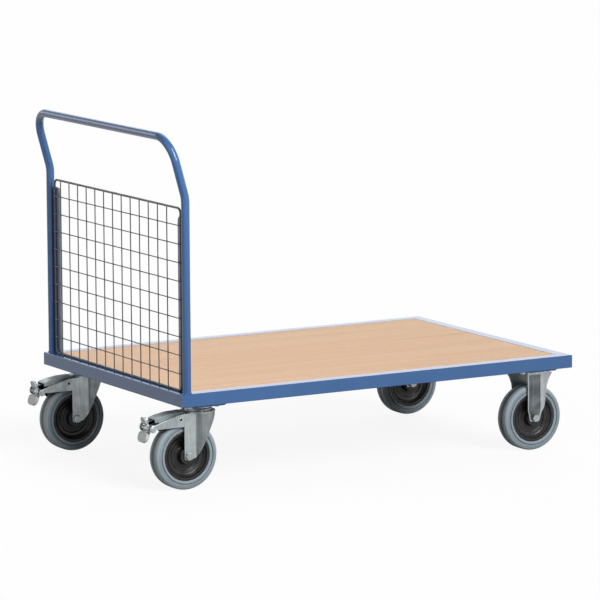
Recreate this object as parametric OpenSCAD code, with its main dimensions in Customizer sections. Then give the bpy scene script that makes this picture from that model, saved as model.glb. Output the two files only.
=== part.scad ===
// Flatbed platform truck: a board in a welded box-tube frame, two braked swivel
// casters under the handle end and two fixed casters under the front end, with a
// bent-tube push handle and a welded wire-mesh end panel.
// Millimetres. Floor at Z = 0, +Z up, +X from the handle end to the front end.
// The origin is on the floor, under the middle of the overall box.
// Right and left are seen by the person who pushes: right is -Y.

/* [Platform] */
// Length over the frame
platform_l = 1200; // [1000:10:1600]
// Width over the frame
platform_w = 800; // [700:10:1000]
// Width of a frame rail, seen from above
rail_w = 35; // [30:1:45]
// Height of a frame rail
rail_h = 35; // [32:1:50]
// Wall of the frame rails and cross members
rail_wall = 2.5; // [1.5:0.5:4]
// Thickness of the deck board
board_t = 15; // [9:1:18]
// Gap round the deck board inside the frame
board_gap = 1; // [0.5:0.5:3]
// Width of a cross member under the board
cross_w = 40; // [25:1:60]
// Number of cross members
cross_count = 4; // [2:1:6]
// Width of the ledge that carries each end of the board
ledge_w = 20; // [10:1:30]
// Thickness of that ledge
ledge_t = 5; // [3:1:8]

/* [Push handle] */
// Outside diameter of the handle tube
tube_d = 22; // [18:1:26]
// Wall of the handle tube
tube_wall = 2; // [1:0.5:4]
// From the frame's end face to the tube
leg_setback = 10; // [2:0.5:12]
// From the frame's side face to the tube
leg_sidegap = 2; // [0:0.5:5]
// From the top of the mesh panel to the start of the lean
bend_rise = 15; // [5:1:60]
// Radius of the bend where the legs start to lean
lean_r = 100; // [60:5:200]
// Lean of the upper legs, in degrees
lean_deg = 15.5; // [5:0.5:30]
// Length of the leaning legs, up to the middle of the push bar
lean_l = 150; // [110:1:260]
// Radius of the corner bends beside the push bar
corner_r = 68; // [45:1:100]

/* [Mesh panel] */
// Height of the panel's top wire above the deck
mesh_h = 478; // [300:1:600]
// Diameter of the border wire
border_d = 6; // [4:0.5:8]
// Radius of the border's corners
border_r = 14; // [8:1:40]
// From the handle tube to the middle of the border wire
border_gap = 15.5; // [8:0.5:20]
// Diameter of the mesh wires
wire_d = 3; // [2:0.5:4]
// Spacing of the upright wires
pitch_y = 50.8; // [25:0.1:100]
// From the left border wire to the first upright wire
first_y = 50; // [20:0.1:60]
// Spacing of the cross wires
pitch_z = 48.3; // [25:0.1:100]
// From the top border wire to the first cross wire
first_z = 44; // [20:1:60]
// Least distance from the last wire to the border wire
last_gap = 30; // [10:1:40]
// Width of the flat strip beside each handle leg
strip_w = 38; // [26:1:45]
// Thickness of the strip
strip_t = 4; // [3:0.5:6]
// From the top of the strip to the top border wire
strip_drop = 21; // [5:1:60]
// Radius of the strip's free top corner
strip_r = 14; // [4:1:20]

/* [Caster mounting] */
// Thickness of the welded plate under each corner
mount_t = 4; // [3:0.5:8]
// From the frame's side faces to that plate
mount_inset = 5; // [1:1:12]
// Cut corners of that plate
mount_cut = 35; // [5:1:45]
// Spacing of the caster bolts along the platform
bolt_pitch_x = 80; // [70:1:90]
// Spacing of the caster bolts across the platform
bolt_pitch_y = 60; // [50:1:75]
// Radius of the caster bolts
bolt_r = 4; // [3:0.5:5]
// Gap between a bolt's nut and the end rail
nut_gap_x = 5.5; // [3:0.5:20]
// Gap between a bolt's nut and the side rail
nut_gap_y = 6; // [3:0.5:20]

/* [Wheels] */
// Diameter over the tyre
wheel_d = 180; // [160:1:200]
// Width of the tyre
tyre_w = 48; // [40:1:50]
// Radial thickness of the tyre
tyre_t = 24; // [15:1:32]
// Radius of the tyre's shoulders
shoulder_r = 11; // [5:1:14]
// Radius of the wheel's hub boss
boss_r = 21; // [18:1:28]
// Half the thickness of the wheel's web
web_half = 6; // [4:1:10]
// Thickness of the wheel's rim
rim_t = 7; // [4:1:9]
// Outside radius of the roller bearing
bearing_r = 11; // [9:0.5:14]
// Radius of the axle bolt
axle_r = 6; // [5:0.5:7]

/* [Forks] */
// Thickness of the pressed fork sheet
fork_t = 3.5; // [2.5:0.5:5]
// Side gap between the tyre and the fork
fork_gap = 4; // [3:0.5:8]
// From the top of the tyre to the underside of the fork crown
crown_gap = 22; // [20:1:30]
// Thickness of the fork crown
crown_t = 4; // [3:0.5:6]
// Height of the swivel race between crown and top plate
race_h = 14; // [12:0.5:18]
// Thickness of the caster's top plate
top_plate_t = 4; // [3:0.5:6]
// From the outer bolts to the edge of the top plate
top_plate_edge = 12.5; // [8:0.5:16]
// Trail of the swivel casters, from kingpin to axle
trail = 45; // [40:1:52]
// Width of a fork leg's flat
leg_flat = 34; // [28:1:40]
// Radius of the fork's round front, about the kingpin
front_r = 44; // [41:0.5:48]
// Radius of the kingpin
kingpin_r = 8; // [6:0.5:10]
// Diameter of the balls in the swivel race
ball_d = 8; // [6:0.5:9]
// Radius of the ring of balls
ball_ring_r = 28; // [24:0.5:31]
// Number of balls
ball_count = 18; // [10:1:18]

/* [Brake] */
// From the back of the tyre to the pedal's pin, along the platform
pedal_out = 13; // [11:1:30]
// Radius of the pedal's pin
pedal_pin_r = 4; // [3:0.5:5]
// Radius of the brake lever's hollow pin
lever_pin_r = 3.5; // [3:0.25:4.5]
// Width of the brake lever
lever_w = 40; // [30:1:42]
// Sheet thickness of the brake lever
lever_t = 2.5; // [1.5:0.5:4]
// Gap between brake shoe and tyre when the brake is off
shoe_gap = 5; // [4.5:0.5:8]
// Width of the brake shoe
shoe_w = 28; // [15:1:30]
// Length of the press plate below the pedal's pin
press_l = 40; // [34:1:46]
// Slope of the press plate from the upright, in degrees
press_deg = 20; // [10:1:30]
// Width of the press pad
press_w = 46; // [30:1:48]
// Thickness of the press pad
press_t = 8; // [4:1:12]
// Length of the release tab above the pedal's pin
tab_l = 33; // [32:1:38]
// Slope of the release tab from the upright, in degrees
tab_deg = 17; // [6:1:30]
// Width of the release tab
tab_w = 26; // [18:1:40]
// Thickness of the tab's cover
tab_t = 6; // [3:1:9]
// Thickness of the pedal's plate
pedal_t = 3; // [2:0.5:5]

/* [Hidden] */
$fn = 48;
SIDES = ["right", "left"];
ROOT_NODES = [
    "rail_right", "rail_left", "rail_handle_end", "rail_front_end", "cross_members",
    "board_ledges", "deck_board", "deck_screws", "push_handle", "mesh_border",
    "mesh_uprights", "mesh_cross_wires", "caster_bolts", "caster_nuts"
];
SIDE_NODES = [
    "mesh_strip", "swivel_mount", "swivel_plate", "swivel_balls", "kingpin", "swivel_fork",
    "brake_pins", "brake_lever", "brake_shoe", "brake_pedal", "pedal_pads", "swivel_tyre",
    "swivel_wheel", "swivel_bearing", "swivel_axle", "swivel_axle_nut", "fixed_mount",
    "fixed_fork", "fixed_tyre", "fixed_wheel", "fixed_bearing", "fixed_axle", "fixed_axle_nut"
];

// Fits: a running or push fit, a bolt hole, and pieces welded side by side
fit = 0.05;
bolt_clear = 0.5;
weld_gap = 0.02;
// Longer than any cut that it is used for
through = 400;

// Paint, wood, metal, rubber and plastic
blue = [0.27, 0.40, 0.60];
beech = [0.86, 0.73, 0.61];
dark_wire = [0.25, 0.27, 0.31];
zinc = [0.70, 0.73, 0.73];
grey_rubber = [0.55, 0.60, 0.64];
black_plastic = [0.17, 0.17, 0.18];
grey_plastic = [0.52, 0.53, 0.54];
dark_steel = [0.36, 0.39, 0.42];

// Heights above the floor
wheel_r = wheel_d / 2;
crown_bottom = wheel_d + crown_gap;
crown_mid = crown_bottom + crown_t / 2;
crown_top = crown_bottom + crown_t;
ball_z = crown_top + race_h / 2;
top_plate_z = crown_top + race_h;
caster_h = top_plate_z + top_plate_t;
rail_z = caster_h + mount_t;
deck_z = rail_z + rail_h;

// Hexagon heads and nuts, as distances across the corners
hex_ratio = 1.155;
bolt_hex_r = bolt_r * 1.625 * hex_ratio;
bolt_head_h = bolt_r * 1.325;
bolt_nut_h = bolt_r * 1.625;
bolt_end = 2;
axle_hex_r = axle_r * 1.5 * hex_ratio;
axle_head_h = axle_r * 1.25;
axle_nut_h = axle_r * 1.65;
axle_end = 3;

// Fork widths, from the middle of the wheel
fork_in = tyre_w / 2 + fork_gap;
fork_out = fork_in + fork_t;

// Places of the casters
top_plate_l = bolt_pitch_x + 2 * top_plate_edge;
top_plate_w = bolt_pitch_y + 2 * top_plate_edge;
caster_in_x = rail_w + nut_gap_x + bolt_hex_r + bolt_pitch_x / 2;
caster_in_y = rail_w + nut_gap_y + bolt_hex_r + bolt_pitch_y / 2;

// Swivel fork in the upright plane through its kingpin, which is at x = 0
axle_x = -trail;
leg_back_x = axle_x - 12;
leg_fold_x = leg_back_x + leg_flat;
leg_foot_z = wheel_r - 10;
foot_r = 6;
fold_run = 9;
front_cut = 6;
crown_rim = 1;
crown_back_x = front_cut - front_r;
lip_drop = 0.6;
arm_z = wheel_d - 11;
arm_end_r = 9;
arm_lip = 5;
lip_t = 3;
race_in_r = 20;
race_out_r = 36;
race_open = 2;
ball_clear = 0.3;

// Brake, in the same plane
pedal_x = axle_x - wheel_r - pedal_out;
pedal_z = wheel_d - 10;
pedal_hub_r = pedal_pin_r + 4;
pedal_hub_w = 40;
pedal_web_l = 14;
pedal_web_t = 2.5;
pedal_eye_r = 1.8;
press_start = 15;
tab_start = 16;
pedal_end_round = 0.37;
pedal_end_share = 0.6;
lever_x = axle_x - 22;
lever_z = wheel_d + 9;
lever_ear_r = lever_pin_r + 3.5;
lever_front_x = -front_r - crown_rim - 4;
lever_top_z = top_plate_z - bolt_head_h - 7;
shoe_back_x = axle_x - wheel_r + 23;
shoe_front_x = axle_x - wheel_r / 2;
// Top line of the lever, from the crown to the pedal
lever_line = [
    [lever_front_x, lever_top_z],
    [axle_x - wheel_r / 2 + 2, lever_top_z - 2],
    [axle_x - wheel_r + 15, wheel_d + 20],
    [axle_x - wheel_r - 2, wheel_d + 14.5]
];

// Outer end of the press pad, which is the rearmost point of the truck
press_dir = [-sin(press_deg), -cos(press_deg)];
press_out = [-cos(press_deg), sin(press_deg)];
press_tip_x = pedal_x + press_dir.x * press_l + press_out.x * (pedal_t / 2 + press_t);
pedal_overhang = -(press_tip_x + caster_in_x);
wheel_overhang = max(0, wheel_r - caster_in_x);

// Ends of the frame, and the middles of the casters
handle_x = -(platform_l + wheel_overhang - pedal_overhang) / 2;
front_x = handle_x + platform_l;
swivel_x = handle_x + caster_in_x;
fixed_x = front_x - caster_in_x;
caster_y = platform_w / 2 - caster_in_y;

// Handle and mesh panel
tube_r = tube_d / 2;
leg_x = handle_x + leg_setback + tube_r;
leg_y = platform_w / 2 - leg_sidegap - tube_r;
lean_z = deck_z + mesh_h + bend_rise;
// The bend runs a little into the straight tube, and is a hair thinner there
bend_lap = 0.5;
bend_thin = 0.02;
border_y = leg_y - tube_r - border_gap;
border_low_z = deck_z + border_d / 2;
border_high_z = deck_z + mesh_h;
cross_wire_x = leg_x - border_d / 2 - wire_d / 2 - weld_gap;
upright_x = cross_wire_x - wire_d - weld_gap;

// Cross members and deck screws
cross_h = rail_h - board_t;
cross_in_x = caster_in_x + top_plate_l / 2 + 40;
screw_r = 2.4;
screw_head_r = 4.5;
screw_head_h = 3;
screw_grip = 8;
screw_in_y = 120;

function side_of(side) = side == "left" ? 1 : -1;
function cross_x(i) = handle_x + cross_in_x + i * (platform_l - 2 * cross_in_x) / (cross_count - 1);

// Repeated shapes

module rounded_rect(l, w, r) {
    square([l - 2 * r, w], center = true);
    square([l, w - 2 * r], center = true);
    for (x = [-1, 1], y = [-1, 1])
        translate([x * (l / 2 - r), y * (w / 2 - r)])
            circle(r);
}

// A flat outline in X and Z, made solid across Y from y0 to y1
module across(y0, y1) {
    translate([0, y1, 0])
        rotate([90, 0, 0])
            linear_extrude(y1 - y0)
                children();
}

// A round rod across Y, from y0 to y1
module rod_y(r, y0, y1) {
    translate([0, y0, 0])
        rotate([-90, 0, 0])
            cylinder(r = r, h = y1 - y0);
}

module hex_y(r, y0, y1) {
    translate([0, y0, 0])
        rotate([-90, 0, 0])
            cylinder(r = r, h = y1 - y0, $fn = 6);
}

// A band of even thickness that lies under a line of points
module band_under(line, t) {
    polygon(concat(line, [for (i = [len(line) - 1:-1:0]) [line[i].x, line[i].y - t]]));
}

module bolt_places() {
    for (x = [-1, 1], y = [-1, 1])
        translate([x * bolt_pitch_x / 2, y * bolt_pitch_y / 2, 0])
            children();
}

module swivel_at(side) {
    translate([swivel_x, side_of(side) * caster_y, 0])
        children();
}

module fixed_at(side) {
    translate([fixed_x, side_of(side) * caster_y, 0])
        children();
}

module every_caster() {
    for (side = SIDES) {
        swivel_at(side) children();
        fixed_at(side) children();
    }
}

// Frame

// Box rail with mitred ends: its outer face on Y = 0, its middle at X = 0
module box_rail(length) {
    half = length / 2;
    difference() {
        linear_extrude(rail_h)
            polygon([[-half, 0], [half, 0], [half - rail_w, rail_w], [rail_w - half, rail_w]]);
        translate([0, 0, rail_wall])
            linear_extrude(rail_h - 2 * rail_wall)
                polygon([
                    [rail_wall - half, rail_wall],
                    [half - rail_wall, rail_wall],
                    [half - rail_w + rail_wall, rail_w - rail_wall],
                    [rail_w - rail_wall - half, rail_w - rail_wall]
                ]);
    }
}

module side_rail(turn) {
    color(blue)
        translate([(handle_x + front_x) / 2, 0, rail_z])
            rotate(turn)
                translate([0, -platform_w / 2, 0])
                    box_rail(platform_l);
}

module end_rail(x, turn) {
    color(blue)
        translate([x, 0, rail_z])
            rotate(turn)
                box_rail(platform_w);
}

module screw_places() {
    for (i = [0:cross_count - 1], y = [-1, 1])
        translate([cross_x(i), y * (platform_w / 2 - rail_w - screw_in_y), 0])
            children();
}

module cross_members() {
    span = platform_w - 2 * rail_w;
    color(blue)
        difference() {
            for (i = [0:cross_count - 1])
                translate([cross_x(i), 0, rail_z])
                    difference() {
                        translate([-cross_w / 2, -span / 2, 0])
                            cube([cross_w, span, cross_h]);
                        translate([rail_wall - cross_w / 2, -span, rail_wall])
                            cube([cross_w - 2 * rail_wall, 2 * span, cross_h - 2 * rail_wall]);
                    }
            screw_places()
                translate([0, 0, rail_z - 1])
                    cylinder(r = screw_r + fit, h = cross_h + 2);
        }
}

module board_ledges() {
    span = platform_w - 2 * rail_w;
    color(blue)
        for (x = [handle_x + rail_w, front_x - rail_w - ledge_w])
            translate([x, -span / 2, deck_z - board_t - ledge_t])
                cube([ledge_w, span, ledge_t]);
}

module deck_board() {
    inset = rail_w + board_gap;
    color(beech)
        difference() {
            translate([handle_x + inset, inset - platform_w / 2, deck_z - board_t])
                cube([platform_l - 2 * inset, platform_w - 2 * inset, board_t]);
            screw_places()
                translate([0, 0, deck_z - board_t - 1])
                    cylinder(r = screw_r + fit, h = screw_grip + 1);
        }
}

// Pan-head screws from below, through the cross members into the board
module deck_screws() {
    color(zinc)
        screw_places()
            translate([0, 0, rail_z - screw_head_h]) {
                cylinder(r = screw_head_r, h = screw_head_h);
                cylinder(r = screw_r, h = screw_head_h + cross_h + screw_grip - 1);
            }
}

// Push handle

// The bent tube as a solid of radius r: two legs, their lean, two corners and the bar
module handle_tube(r) {
    bar_half = leg_y - corner_r;
    for (y = [-leg_y, leg_y]) {
        translate([leg_x, y, deck_z])
            cylinder(r = r, h = lean_z - deck_z);
        translate([leg_x - lean_r, y, lean_z])
            rotate([90, 0, 0])
                rotate_extrude(angle = lean_deg + bend_lap)
                    translate([lean_r, 0])
                        circle(r - bend_thin);
    }
    translate([leg_x - lean_r * (1 - cos(lean_deg)), 0, lean_z + lean_r * sin(lean_deg)])
        rotate([0, -lean_deg, 0]) {
            for (s = [-1, 1]) {
                translate([0, s * leg_y, 0])
                    cylinder(r = r, h = lean_l - corner_r);
                translate([0, s * bar_half, lean_l - corner_r])
                    rotate([90, 0, 90])
                        rotate_extrude(angle = 90, start = 45 - s * 45)
                            translate([corner_r, 0])
                                circle(r);
            }
            translate([0, 0, lean_l])
                rod_y(r, -bar_half, bar_half);
        }
}

module push_handle() {
    color(blue)
        difference() {
            handle_tube(tube_r);
            handle_tube(tube_r - tube_wall);
        }
}

// Mesh panel

module mesh_border() {
    r = border_d / 2;
    half = border_y - border_r;
    low = border_low_z + border_r;
    high = border_high_z - border_r;
    color(dark_wire)
        translate([leg_x, 0, 0]) {
            for (y = [-border_y, border_y])
                translate([0, y, low])
                    cylinder(r = r, h = high - low);
            for (z = [border_low_z, border_high_z])
                translate([0, 0, z])
                    rod_y(r, -half, half);
            for (corner = [[half, high, 0], [-half, high, 90], [-half, low, 180], [half, low, 270]])
                translate([0, corner.x, corner.y])
                    rotate([90, 0, 90])
                        rotate_extrude(angle = 90, start = corner[2])
                            translate([border_r, 0])
                                circle(r);
        }
}

module mesh_uprights() {
    color(dark_wire)
        for (y = [border_y - first_y:-pitch_y:last_gap - border_y])
            translate([upright_x, y, border_low_z])
                cylinder(d = wire_d, h = border_high_z - border_low_z);
}

module mesh_cross_wires() {
    color(dark_wire)
        for (z = [border_high_z - first_z:-pitch_z:border_low_z + last_gap])
            translate([cross_wire_x, 0, z])
                rod_y(wire_d / 2, -border_y, border_y);
}

// Flat bar beside a handle leg, which the panel is welded to
module mesh_strip(side) {
    high = mesh_h - strip_drop;
    strip_x = leg_x + border_d / 2 + weld_gap;
    far = platform_w / 2 - leg_sidegap - tube_d - weld_gap;
    color(blue)
        translate([strip_x, 0, deck_z])
            rotate([90, 0, 90])
                linear_extrude(strip_t)
                    mirror([side == "left" ? 0 : 1, 0])
                        translate([far - strip_w, 0]) {
                            square([strip_w, high - strip_r]);
                            translate([strip_r, 0])
                                square([strip_w - strip_r, high]);
                            translate([strip_r, high - strip_r])
                                circle(strip_r);
                        }
}

// Caster mounting

module mount_plate() {
    w = caster_in_y - mount_inset;
    color(blue)
        translate([0, 0, caster_h])
            difference() {
                linear_extrude(mount_t)
                    polygon([
                        [-w, mount_cut - w], [mount_cut - w, -w], [w - mount_cut, -w], [w, mount_cut - w],
                        [w, w - mount_cut], [w - mount_cut, w], [mount_cut - w, w], [-w, w - mount_cut]
                    ]);
                bolt_places()
                    translate([0, 0, -1])
                        cylinder(r = bolt_r + bolt_clear, h = mount_t + 2);
            }
}

// Hexagon bolts from below, through top plate and mounting plate
module caster_bolts() {
    color(zinc)
        every_caster()
            bolt_places()
                translate([0, 0, top_plate_z - bolt_head_h]) {
                    cylinder(r = bolt_hex_r, h = bolt_head_h, $fn = 6);
                    cylinder(r = bolt_r, h = bolt_head_h + top_plate_t + mount_t + bolt_nut_h + bolt_end);
                }
}

module caster_nuts() {
    color(zinc)
        every_caster()
            bolt_places()
                translate([0, 0, rail_z])
                    difference() {
                        cylinder(r = bolt_hex_r, h = bolt_nut_h, $fn = 6);
                        translate([0, 0, -1])
                            cylinder(r = bolt_r + fit, h = bolt_nut_h + 2);
                    }
}

// Swivel caster, with its kingpin on the Z axis and its wheel behind it

module top_plate_blank() {
    translate([0, 0, top_plate_z])
        linear_extrude(top_plate_t)
            difference() {
                rounded_rect(top_plate_l, top_plate_w, top_plate_edge - 2);
                bolt_places()
                    circle(bolt_r + bolt_clear);
            }
}

// One half of the ball race: a ring with a round groove
module race_ring(z0, z1) {
    rotate_extrude()
        difference() {
            translate([race_in_r, z0])
                square([race_out_r - race_in_r, z1 - z0]);
            translate([ball_ring_r, ball_z])
                circle(ball_d / 2 + ball_clear);
        }
}

module swivel_plate() {
    color(zinc)
        difference() {
            union() {
                top_plate_blank();
                race_ring(ball_z + race_open / 2, top_plate_z + top_plate_t / 2);
            }
            translate([0, 0, top_plate_z - 1])
                cylinder(r = kingpin_r + fit, h = top_plate_t + 2);
        }
}

module swivel_balls() {
    color(zinc)
        for (i = [0:ball_count - 1])
            rotate(i * 360 / ball_count)
                translate([ball_ring_r, 0, ball_z])
                    sphere(d = ball_d);
}

// Riveted in the top plate, with its head just under the crown
module kingpin() {
    head_h = 6;
    head_r = kingpin_r + 6;
    color(zinc)
        translate([0, 0, crown_bottom - ball_clear - head_h]) {
            cylinder(r = head_r, h = head_h);
            cylinder(r = kingpin_r, h = caster_h - crown_bottom + ball_clear + head_h);
        }
}

// Side view of a fork cheek: leg, front panel and the arm back to the pedal
module cheek_outline() {
    polygon([
        [leg_back_x, leg_foot_z + foot_r],
        [leg_back_x + foot_r, leg_foot_z],
        [axle_x + foot_r, leg_foot_z],
        [axle_x + 22, leg_foot_z + foot_r],
        [front_r / 3, wheel_d - 19],
        [front_r - front_cut, crown_bottom - 4],
        [front_r - front_cut, crown_mid],
        [lever_front_x + 12, crown_mid],
        [axle_x - 25, crown_top - 4],
        [pedal_x, pedal_z + arm_end_r],
        [pedal_x, arm_z + 4],
        [pedal_x + 14, arm_z],
        [leg_back_x, arm_z]
    ]);
    translate([leg_back_x + foot_r, leg_foot_z + foot_r])
        circle(foot_r);
    translate([pedal_x, pedal_z])
        circle(arm_end_r);
}

// Plan of the left cheek: a flat leg, a fold outwards and a round front about the kingpin
module cheek_plan() {
    back_x = pedal_x - 2 * arm_end_r;
    front_x0 = leg_fold_x + fold_run;
    fold_rise = sqrt(front_r * front_r - front_x0 * front_x0) - fork_out;
    // The fold runs on into the round front, which trims it
    reach = 1.5;
    tip_x = leg_fold_x + fold_run * reach;
    translate([back_x, fork_in])
        square([leg_fold_x - back_x, fork_t]);
    intersection() {
        circle(front_r, $fn = 96);
        union() {
            polygon([
                [leg_fold_x - 1, fork_in], [leg_fold_x, fork_in], [tip_x, fork_in + fold_rise * reach],
                [tip_x, fork_out + fold_rise * reach], [leg_fold_x, fork_out], [leg_fold_x - 1, fork_out]
            ]);
            difference() {
                translate([front_x0 + 1, 0])
                    square(front_r * 2);
                circle(front_r - fork_t, $fn = 96);
            }
        }
    }
}

module cheek() {
    intersection() {
        linear_extrude(caster_h)
            cheek_plan();
        across(0, 2 * front_r)
            cheek_outline();
    }
    // Lip folded inwards along the top of the arm
    across(fork_in - arm_lip, fork_in + fork_t / 2)
        band_under([
            [lever_front_x + 4, crown_top - 3 - lip_drop],
            [axle_x - 25, crown_top - 4 - lip_drop],
            [pedal_x + 12, pedal_z + arm_end_r + 3 - lip_drop]
        ], lip_t);
}

// Round crown with the lower half of the race, joined to the two legs
module crown() {
    translate([0, 0, crown_bottom])
        linear_extrude(crown_t) {
            circle(front_r + crown_rim, $fn = 96);
            translate([crown_back_x, -fork_out])
                square([leg_fold_x + fold_run - crown_back_x, 2 * fork_out]);
        }
    race_ring(crown_mid, ball_z - race_open / 2);
}

module swivel_fork() {
    color(zinc)
        difference() {
            union() {
                crown();
                cheek();
                mirror([0, 1, 0])
                    cheek();
            }
            translate([0, 0, crown_bottom - 1])
                cylinder(r = kingpin_r + fit, h = crown_t + 2);
            translate([axle_x, 0, wheel_r])
                rod_y(axle_r + fit, -through, through);
            translate([pedal_x, 0, pedal_z])
                rod_y(pedal_pin_r + fit, -through, through);
            translate([lever_x, 0, lever_z])
                rod_y(lever_pin_r + fit, -through, through);
        }
}

// The pedal's solid pin and the lever's hollow pin, both fixed in the cheeks
module brake_pins() {
    head_t = 1.5;
    color(zinc) {
        translate([pedal_x, 0, pedal_z]) {
            rod_y(pedal_pin_r, -fork_out - head_t, fork_out + head_t);
            rod_y(pedal_pin_r + 2, -fork_out - head_t, -fork_out);
            rod_y(pedal_pin_r + 2, fork_out, fork_out + head_t);
        }
        translate([lever_x, 0, lever_z])
            difference() {
                rod_y(lever_pin_r, -fork_out, fork_out);
                rod_y(lever_pin_r - 1.5, -through, through);
            }
    }
}

// Inverted channel over the wheel, hung on the hollow pin
module brake_lever() {
    low = wheel_d + 5;
    tail = lever_line[3];
    color(dark_steel)
        difference() {
            union() {
                across(-lever_w / 2, lever_w / 2)
                    band_under(lever_line, lever_t);
                for (y = [-lever_w / 2, lever_w / 2 - lever_t])
                    across(y, y + lever_t) {
                        polygon(concat(lever_line, [[tail.x, low], [lever_x, low], [lever_front_x, lever_z]]));
                        translate([lever_x, lever_z])
                            circle(lever_ear_r);
                    }
            }
            translate([lever_x, 0, lever_z])
                rod_y(lever_pin_r + fit, -through, through);
        }
}

// Block under the lever, hollowed to the curve of the tyre
module brake_shoe() {
    color(black_plastic)
        across(-shoe_w / 2, shoe_w / 2)
            difference() {
                translate([shoe_back_x, wheel_r])
                    square([shoe_front_x - shoe_back_x, crown_top - wheel_r + race_h]);
                polygon(concat(
                    [for (p = lever_line) [p.x, p.y - lever_t]],
                    [[lever_line[3].x, 2 * caster_h], [lever_line[0].x, 2 * caster_h]]
                ));
                translate([axle_x, wheel_r])
                    circle(wheel_r + shoe_gap, $fn = 180);
            }
}

// Outline of a pedal arm along X: square at the pin's end, rounded at the free end
module pedal_arm_outline(length, w) {
    r = min(pedal_end_round * w, pedal_end_share * length);
    translate([0, -w / 2])
        square([length - r, w]);
    translate([0, r - w / 2])
        square([length, w - 2 * r]);
    for (side = [-1, 1])
        translate([length - r, side * (w / 2 - r)])
            circle(r);
}

// A plate of the rocker, of the given length, along a slope from the pin
module rocker_plate(length, w) {
    translate([0, 0, -pedal_t / 2])
        linear_extrude(pedal_t)
            pedal_arm_outline(length, w);
}

// Turns X down along the press plate, or up along the release tab, with Z outwards
module press_side() {
    translate([pedal_x, 0, pedal_z])
        rotate([0, 90 + press_deg, 0])
            mirror([0, 0, 1])
                children();
}

module tab_side() {
    translate([pedal_x, 0, pedal_z])
        rotate([0, -90 - tab_deg, 0])
            children();
}

// Two-armed rocker with side webs: the lower arm is pressed to brake, the upper one to let go
module brake_pedal() {
    half = pedal_hub_w / 2;
    color(zinc)
        difference() {
            union() {
                translate([pedal_x, 0, pedal_z])
                    rod_y(pedal_hub_r, -half, half);
                press_side()
                    rocker_plate(press_l - 2, press_w - 8);
                tab_side()
                    rocker_plate(tab_l - 2, tab_w - 6);
                for (y = [-half, half - pedal_web_t])
                    across(y, y + pedal_web_t)
                        rocker_web();
            }
            translate([pedal_x, 0, pedal_z])
                rod_y(pedal_pin_r + fit, -through, through);
        }
}

module rocker_web() {
    translate([pedal_x, pedal_z])
        difference() {
            polygon([
                [2, pedal_hub_r - 1], [-8, tab_start - 3], [2 - pedal_web_l, tab_start - 5], [-pedal_web_l, 3],
                [1 - pedal_web_l, 10 - press_start], [-7, 6 - press_start], [2, 1 - pedal_hub_r]
            ]);
            translate([4.2 - pedal_web_l, 3])
                circle(pedal_eye_r);
        }
}

// Moulded covers on the outer faces of the two arms
module pedal_pads() {
    color(grey_plastic) {
        press_side()
            translate([press_start, 0, pedal_t / 2])
                linear_extrude(press_t)
                    pedal_arm_outline(press_l - press_start, press_w);
        tab_side()
            translate([tab_start, 0, pedal_t / 2])
                linear_extrude(tab_t)
                    pedal_arm_outline(tab_l - tab_start, tab_w);
    }
}

// Wheel, with its axle on the Y axis

module lathe_y() {
    rotate([90, 0, 0])
        rotate_extrude($fn = 96)
            children();
}

rim_r = wheel_r - tyre_t;

// Half section of the tyre: flat tread, round shoulders, a moulded ring on each side
module tyre_section() {
    half = tyre_w / 2;
    inner = rim_r + fit;
    ring_r = rim_r + tyre_t * 0.36;
    difference() {
        union() {
            translate([inner, -half])
                square([wheel_r - shoulder_r - inner, tyre_w]);
            translate([inner, shoulder_r - half])
                square([wheel_r - inner, tyre_w - 2 * shoulder_r]);
            for (z = [-1, 1])
                translate([wheel_r - shoulder_r, z * (half - shoulder_r)])
                    circle(shoulder_r);
        }
        for (z = [-1, 1])
            translate([ring_r, z * half])
                circle(1.6);
    }
}

module tyre() {
    color(grey_rubber)
        lathe_y()
            tyre_section();
}

// Moulded wheel centre: rim, dished web and hub boss
module wheel_centre() {
    rim_half = tyre_w / 2 - 2;
    boss_half = fork_in - 1;
    step_r = rim_r - rim_t;
    color(black_plastic)
        lathe_y() {
            translate([step_r, -rim_half])
                square([rim_r - step_r, 2 * rim_half]);
            translate([bearing_r + fit, -boss_half])
                square([boss_r - bearing_r - fit, 2 * boss_half]);
            polygon([
                [boss_r - 1, -web_half], [step_r - 10, -web_half], [step_r + 1, 4 - rim_half],
                [step_r + 1, rim_half - 4], [step_r - 10, web_half], [boss_r - 1, web_half]
            ]);
        }
}

// Roller bearing, pressed in the hub and running on the axle bolt
module bearing() {
    half = fork_in - 1;
    color(zinc)
        difference() {
            rod_y(bearing_r, -half, half);
            rod_y(axle_r + fit, -through, through);
        }
}

module axle() {
    color(zinc) {
        hex_y(axle_hex_r, -fork_out - axle_head_h, -fork_out);
        rod_y(axle_r, -fork_out - axle_head_h, fork_out + axle_nut_h + axle_end);
    }
}

module axle_nut() {
    color(zinc)
        difference() {
            hex_y(axle_hex_r, fork_out, fork_out + axle_nut_h);
            rod_y(axle_r + fit, -through, through);
        }
}

module swivel_wheel_at(side) {
    swivel_at(side)
        translate([axle_x, 0, wheel_r])
            children();
}

module fixed_wheel_at(side) {
    fixed_at(side)
        translate([0, 0, wheel_r])
            children();
}

// Fixed caster

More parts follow.
